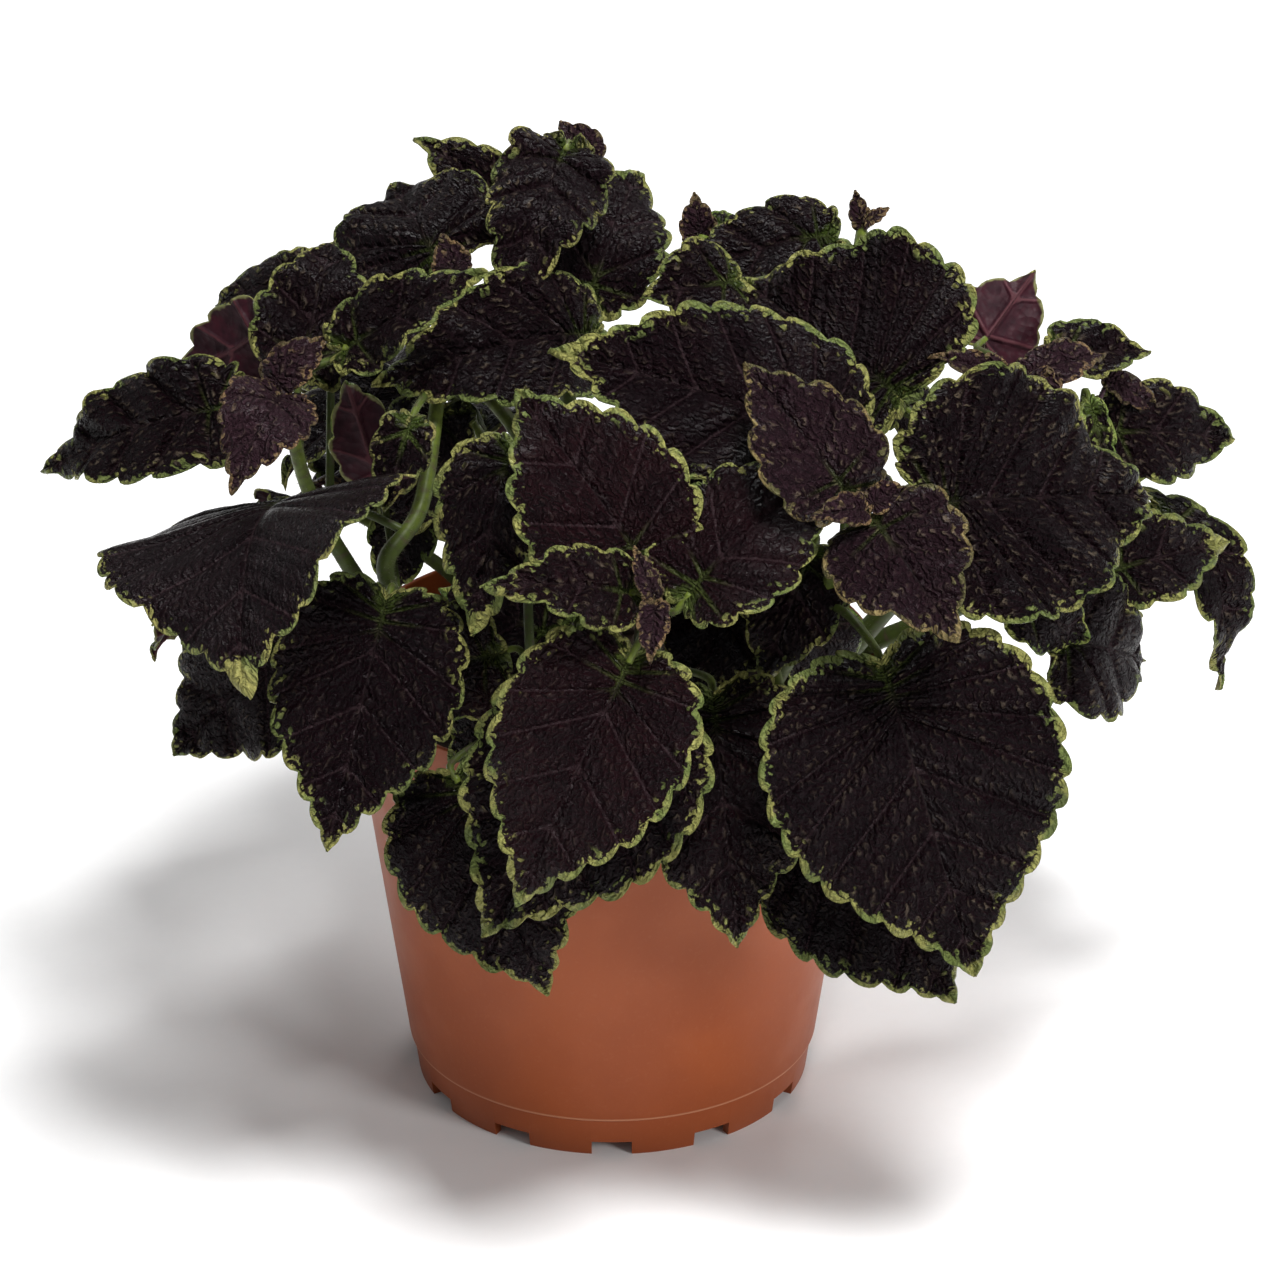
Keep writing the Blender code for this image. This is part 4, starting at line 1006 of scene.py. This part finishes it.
class UpperSide(Graph):
    """The upper side of the blades: what its material reads, and the parts of its colour and relief."""

    def __init__(self):
        super().__init__("leaf_upper", Specular_IOR_Level=0.09, **sheen(0.004, 0.35, (0.8, 0.62, 0.66)))
        self.edge, self.vein, self.base = self.parts("place")
        self.red, self.tan, self.dusk = self.parts("look")
        self.margin, self.tip, self.green = self.parts("rim")
        self.band, self.cross, self.pucker = self.parts("rows")
        self.flat = self.attribute("flat")
        self.cloud = self.noise(self.flat, 0.13)
        self.mottle = self.noise(self.flat, 0.5)
        self.grain = self.noise(self.flat, 2.6, 3)
        self.wobble = self.math("SUBTRACT", self.noise(self.flat, 0.5, 4), 0.5)
        self.quilt = self.make_quilt()

    def make_quilt(self):
        """The small panels between the side veins and the cross veins: 0 at a vein and 1 on a crown."""
        crowns = self.wave(self.line(self.wobble, 3, self.cross))
        ribs = self.wave(self.line(self.wobble, 1.6, self.times(self.band, 3)))
        return self.times(crowns, self.math("POWER", ribs, 0.7))

    def pale(self):
        """How far the ragged margin, the pale tip and the blotches beside them cover the blade."""
        inner = self.line(self.wobble, 4.5, self.edge)
        margin = self.ramp(self.math("SUBTRACT", inner, self.margin), 0.2, -0.15)
        tip = self.ramp(self.line(self.wobble, 12, self.tip), 0.6, -0.6)
        near = self.ramp(self.math("SUBTRACT", self.edge, self.margin), 3, 1)
        blotch = self.times(self.ramp(self.mottle, 0.6, 0.64), near)
        pale = self.math("MAXIMUM", margin, tip)
        return self.math("MAXIMUM", pale, self.times(blotch, 0.85))

    def painted_highlights(self):
        """How far the small panels' crowns get painted highlights as pale flecks, most of all near the
        margin.
        """
        share = self.times(self.ramp(self.quilt, 0.55, 1), self.ramp(self.cloud, 0.62, 0.42))
        share = self.times(share, self.ramp(self.mottle, 0.42, 0.62))
        share = self.times(self.times(share, self.ramp(self.pucker, 0.3, 1.5)), 0.5)
        return self.times(share, self.ramp(self.edge, 14, 3, 0.45, 1))

    def green_star(self):
        """How far the blade is green at its base and along the veins that start there."""
        base = self.line(self.wobble, 5, self.base)
        rays = self.times(self.ramp(base, 12, 3), self.ramp(self.vein, 0.8, 0.25))
        star = self.math("MAXIMUM", rays, self.ramp(base, 4, 1.5))
        return self.times(star, self.green)

    def blade(self):
        """The colour inside the margin."""
        colour = self.mix(self.red, BLADE, RED_BLADE)
        colour = self.mix(self.ramp(self.cloud, 0.4, 0.65, 0, 0.5), colour, SHADED_BLADE)
        colour = self.mix(self.dusk, colour, YOUNG_BLADE)
        # Painted highlight: pale flecks on the crowns of the small panels, where the lamps would glint
        colour = self.mix(self.painted_highlights(), colour, BLADE_PAINTED_HIGHLIGHT)
        colour = self.mix(self.ramp(self.grain, 0.5, 0.75, 0, 0.16), colour, BLADE_DOWN)
        colour = self.mix(self.ramp(self.vein, 0.45, 0.12, 0, 0.55), colour, BLADE_VEINS)
        return self.mix(self.green_star(), colour, BLADE_BASE)

    def rim(self):
        """The colour of the margin."""
        turn = self.ramp(self.cloud, 0.4, 0.6)
        colour = self.mix(self.tan, self.mix(turn, *LIME), self.mix(turn, *TAN))
        return self.mix(self.ramp(self.grain, 0.45, 0.7, 0, 0.45), colour, MARGIN_SPECKS)

    def relief(self):
        """The height of the small panels, the dents and the fine grain."""
        dents = self.times(self.cells(self.flat, 0.3), -0.6)
        height = self.line(self.quilt, 1.3, dents)
        height = self.line(self.noise(self.flat, 0.22), 1.2, height)
        height = self.times(height, self.line(self.pucker, 0.6, 0.3))
        return self.line(self.grain, 0.12, height)


def upper_material():
    """Near-black velvet with a pale toothed margin, blotches and pale veins at its base."""
    graph = UpperSide()
    colour = graph.mix(graph.pale(), graph.blade(), graph.rim())
    roughness = graph.ramp(graph.mottle, 0.3, 0.7, 0.24, 0.38)
    return graph.finish(colour, roughness, graph.relief(), 1.5 * MM)


def under_material():
    """The blade's underside: maroon, with raised pinkish veins and a pale green edge."""
    graph = Graph("leaf_underside", Specular_IOR_Level=0.12, **sheen(0.03, 0.5, (0.8, 0.6, 0.7)))
    edge, vein, _ = graph.parts("place")
    margin, _, _ = graph.parts("rim")
    flat = graph.attribute("flat")
    cloud = graph.noise(flat, 0.3)
    colour = graph.mix(graph.ramp(cloud, 0.3, 0.7), *MAROON)
    colour = graph.mix(graph.ramp(vein, 0.5, 0.1, 0, 0.7), colour, MAROON_VEINS)
    inner = graph.line(cloud, 2, graph.math("SUBTRACT", edge, margin))
    colour = graph.mix(graph.ramp(inner, 1.2, 0.6), colour, UNDER_MARGIN)
    height = graph.math("ADD", graph.ramp(vein, 0.9, 0.1), graph.cells(flat, 0.5))
    return graph.finish(colour, graph.ramp(cloud, 0.3, 0.7, 0.5, 0.65), height, 0.4 * MM)


def stalk_material():
    """Stems and stalks: fresh green at a blade, darker below with painted shade, flushed with purple at the
    young leaves.
    """
    graph = Graph("stalk", Specular_IOR_Level=0.2, **sheen(0.03, 0.4, (0.9, 0.95, 0.8)))
    share, young, hair = graph.parts("look")
    streak = graph.noise(graph.attribute("flat"), 0.5, 3)
    colour = graph.mix(graph.ramp(streak, 0.35, 0.7), *STALK_GREEN)
    # Painted shade: up to three quarters darker green towards each stem's foot and each stalk's start at the
    # stem
    colour = graph.mix(graph.ramp(share, 1, 0.35, 0, 0.75), colour, STALK_PAINTED_SHADE)
    colour = graph.mix(graph.times(graph.ramp(streak, 0.5, 0.75), 0.4), colour, STALK_FLUSH)
    colour = graph.mix(young, colour, YOUNG_STEM)
    colour = graph.mix(graph.times(hair, 0.7), colour, HAIRS)
    return graph.finish(colour, graph.ramp(streak, 0.3, 0.7, 0.4, 0.6), streak, 0.15 * MM)


def pot_material():
    """Thin satin nursery plastic, terracotta-coloured, faintly mottled, with a pale painted highlight along
    its foot step.
    """
    graph = Graph("terracotta_plastic", Specular_IOR_Level=0.3)
    place = graph.place()
    cloud = graph.noise(place, 45, 4)
    grain = graph.noise(place, 900)
    colour = graph.mix(graph.ramp(cloud, 0.35, 0.65), *TERRACOTTA)
    colour = graph.mix(graph.ramp(grain, 0.55, 0.75, 0, 0.2), colour, TERRACOTTA_SPECKS)
    # Painted highlight: a pale line along the edge of the foot step
    level = graph.parts(place)[2]
    off_step = graph.math("ABSOLUTE", graph.math("SUBTRACT", level, STEP_HEIGHT + STEP_SLOPE))
    colour = graph.mix(graph.ramp(off_step, STEP_LINE, 0, 0, 0.6), colour, TERRACOTTA_PAINTED_HIGHLIGHT)
    height = graph.line(grain, 0.3, cloud)
    return graph.finish(colour, graph.ramp(cloud, 0.3, 0.7, 0.4, 0.52), height, 0.08 * MM)


def soil_material():
    """Moist dark peat with paler bark crumbs."""
    graph = Graph("potting_soil", Specular_IOR_Level=0.3)
    place = graph.place()
    patch = graph.noise(place, 260, 4)
    grain = graph.noise(place, 1600, 3)
    colour = graph.mix(graph.ramp(patch, 0.4, 0.65), *PEAT)
    colour = graph.mix(graph.ramp(grain, 0.62, 0.72, 0, 0.6), colour, BARK)
    height = graph.line(grain, 0.4, patch)
    return graph.finish(colour, graph.ramp(patch, 0.3, 0.7, 0.75, 0.95), height, 0.5 * MM)


def floor_material():
    graph = Graph("pale_floor", Specular_IOR_Level=0.1)
    grain = graph.noise(graph.place(), 300)
    return graph.finish(graph.mix(grain, *FLOOR_GREYS), 0.9, grain, 0.01 * MM)


def add_floor():
    mesh = bmesh.new()
    bmesh.ops.create_circle(mesh, cap_ends=True, segments=FLOOR_SIDES, radius=FLOOR_RADIUS)
    floor = mesh_object("floor", mesh)
    floor.data.materials.append(floor_material())


def add_light(name, place, size, power):
    """A square soft light that faces the middle of the plant."""
    light = bpy.data.lights.new(name, "AREA")
    light.size = size
    light.energy = power
    obj = linked(name, light)
    obj.location = place
    way = Vector(place) - (VIEW_CENTRE + POT_PLACE)
    obj.rotation_euler = way.to_track_quat("Z", "Y").to_euler()


def add_world():
    world = bpy.data.worlds.new("studio")
    world.use_nodes = True
    background = world.node_tree.nodes["Background"]
    background.inputs["Color"].default_value = (1, 1, 1, 1)
    background.inputs["Strength"].default_value = WORLD_STRENGTH
    bpy.context.scene.world = world


def add_camera():
    """The camera at the photograph's viewing angle."""
    data = bpy.data.cameras.new("photo_view")
    data.sensor_width = SENSOR_MM
    data.lens = VIEW_FOCAL / VIEW_SPAN * SENSOR_MM
    data.clip_end = 10
    camera = linked("photo_view", data)
    turn = Matrix((VIEW_RIGHT, VIEW_UP, VIEW_BACK)).transposed().to_4x4()
    camera.matrix_world = Matrix.Translation(VIEW_EYE + POT_PLACE) @ turn
    bpy.context.scene.camera = camera


def main():
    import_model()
    add_camera()
    add_pot(pot_material())
    add_soil(soil_material())
    foliage = [upper_material(), under_material(), stalk_material()]
    for name, foot, route, leaves in all_stems():
        add_stem(name, foot, route, leaves, foliage)
    add_floor()
    add_world()
    for name, (place, size, power) in LIGHTS.items():
        add_light(name, place, size, power)
    bpy.context.scene.view_settings.view_transform = "Standard"


main()
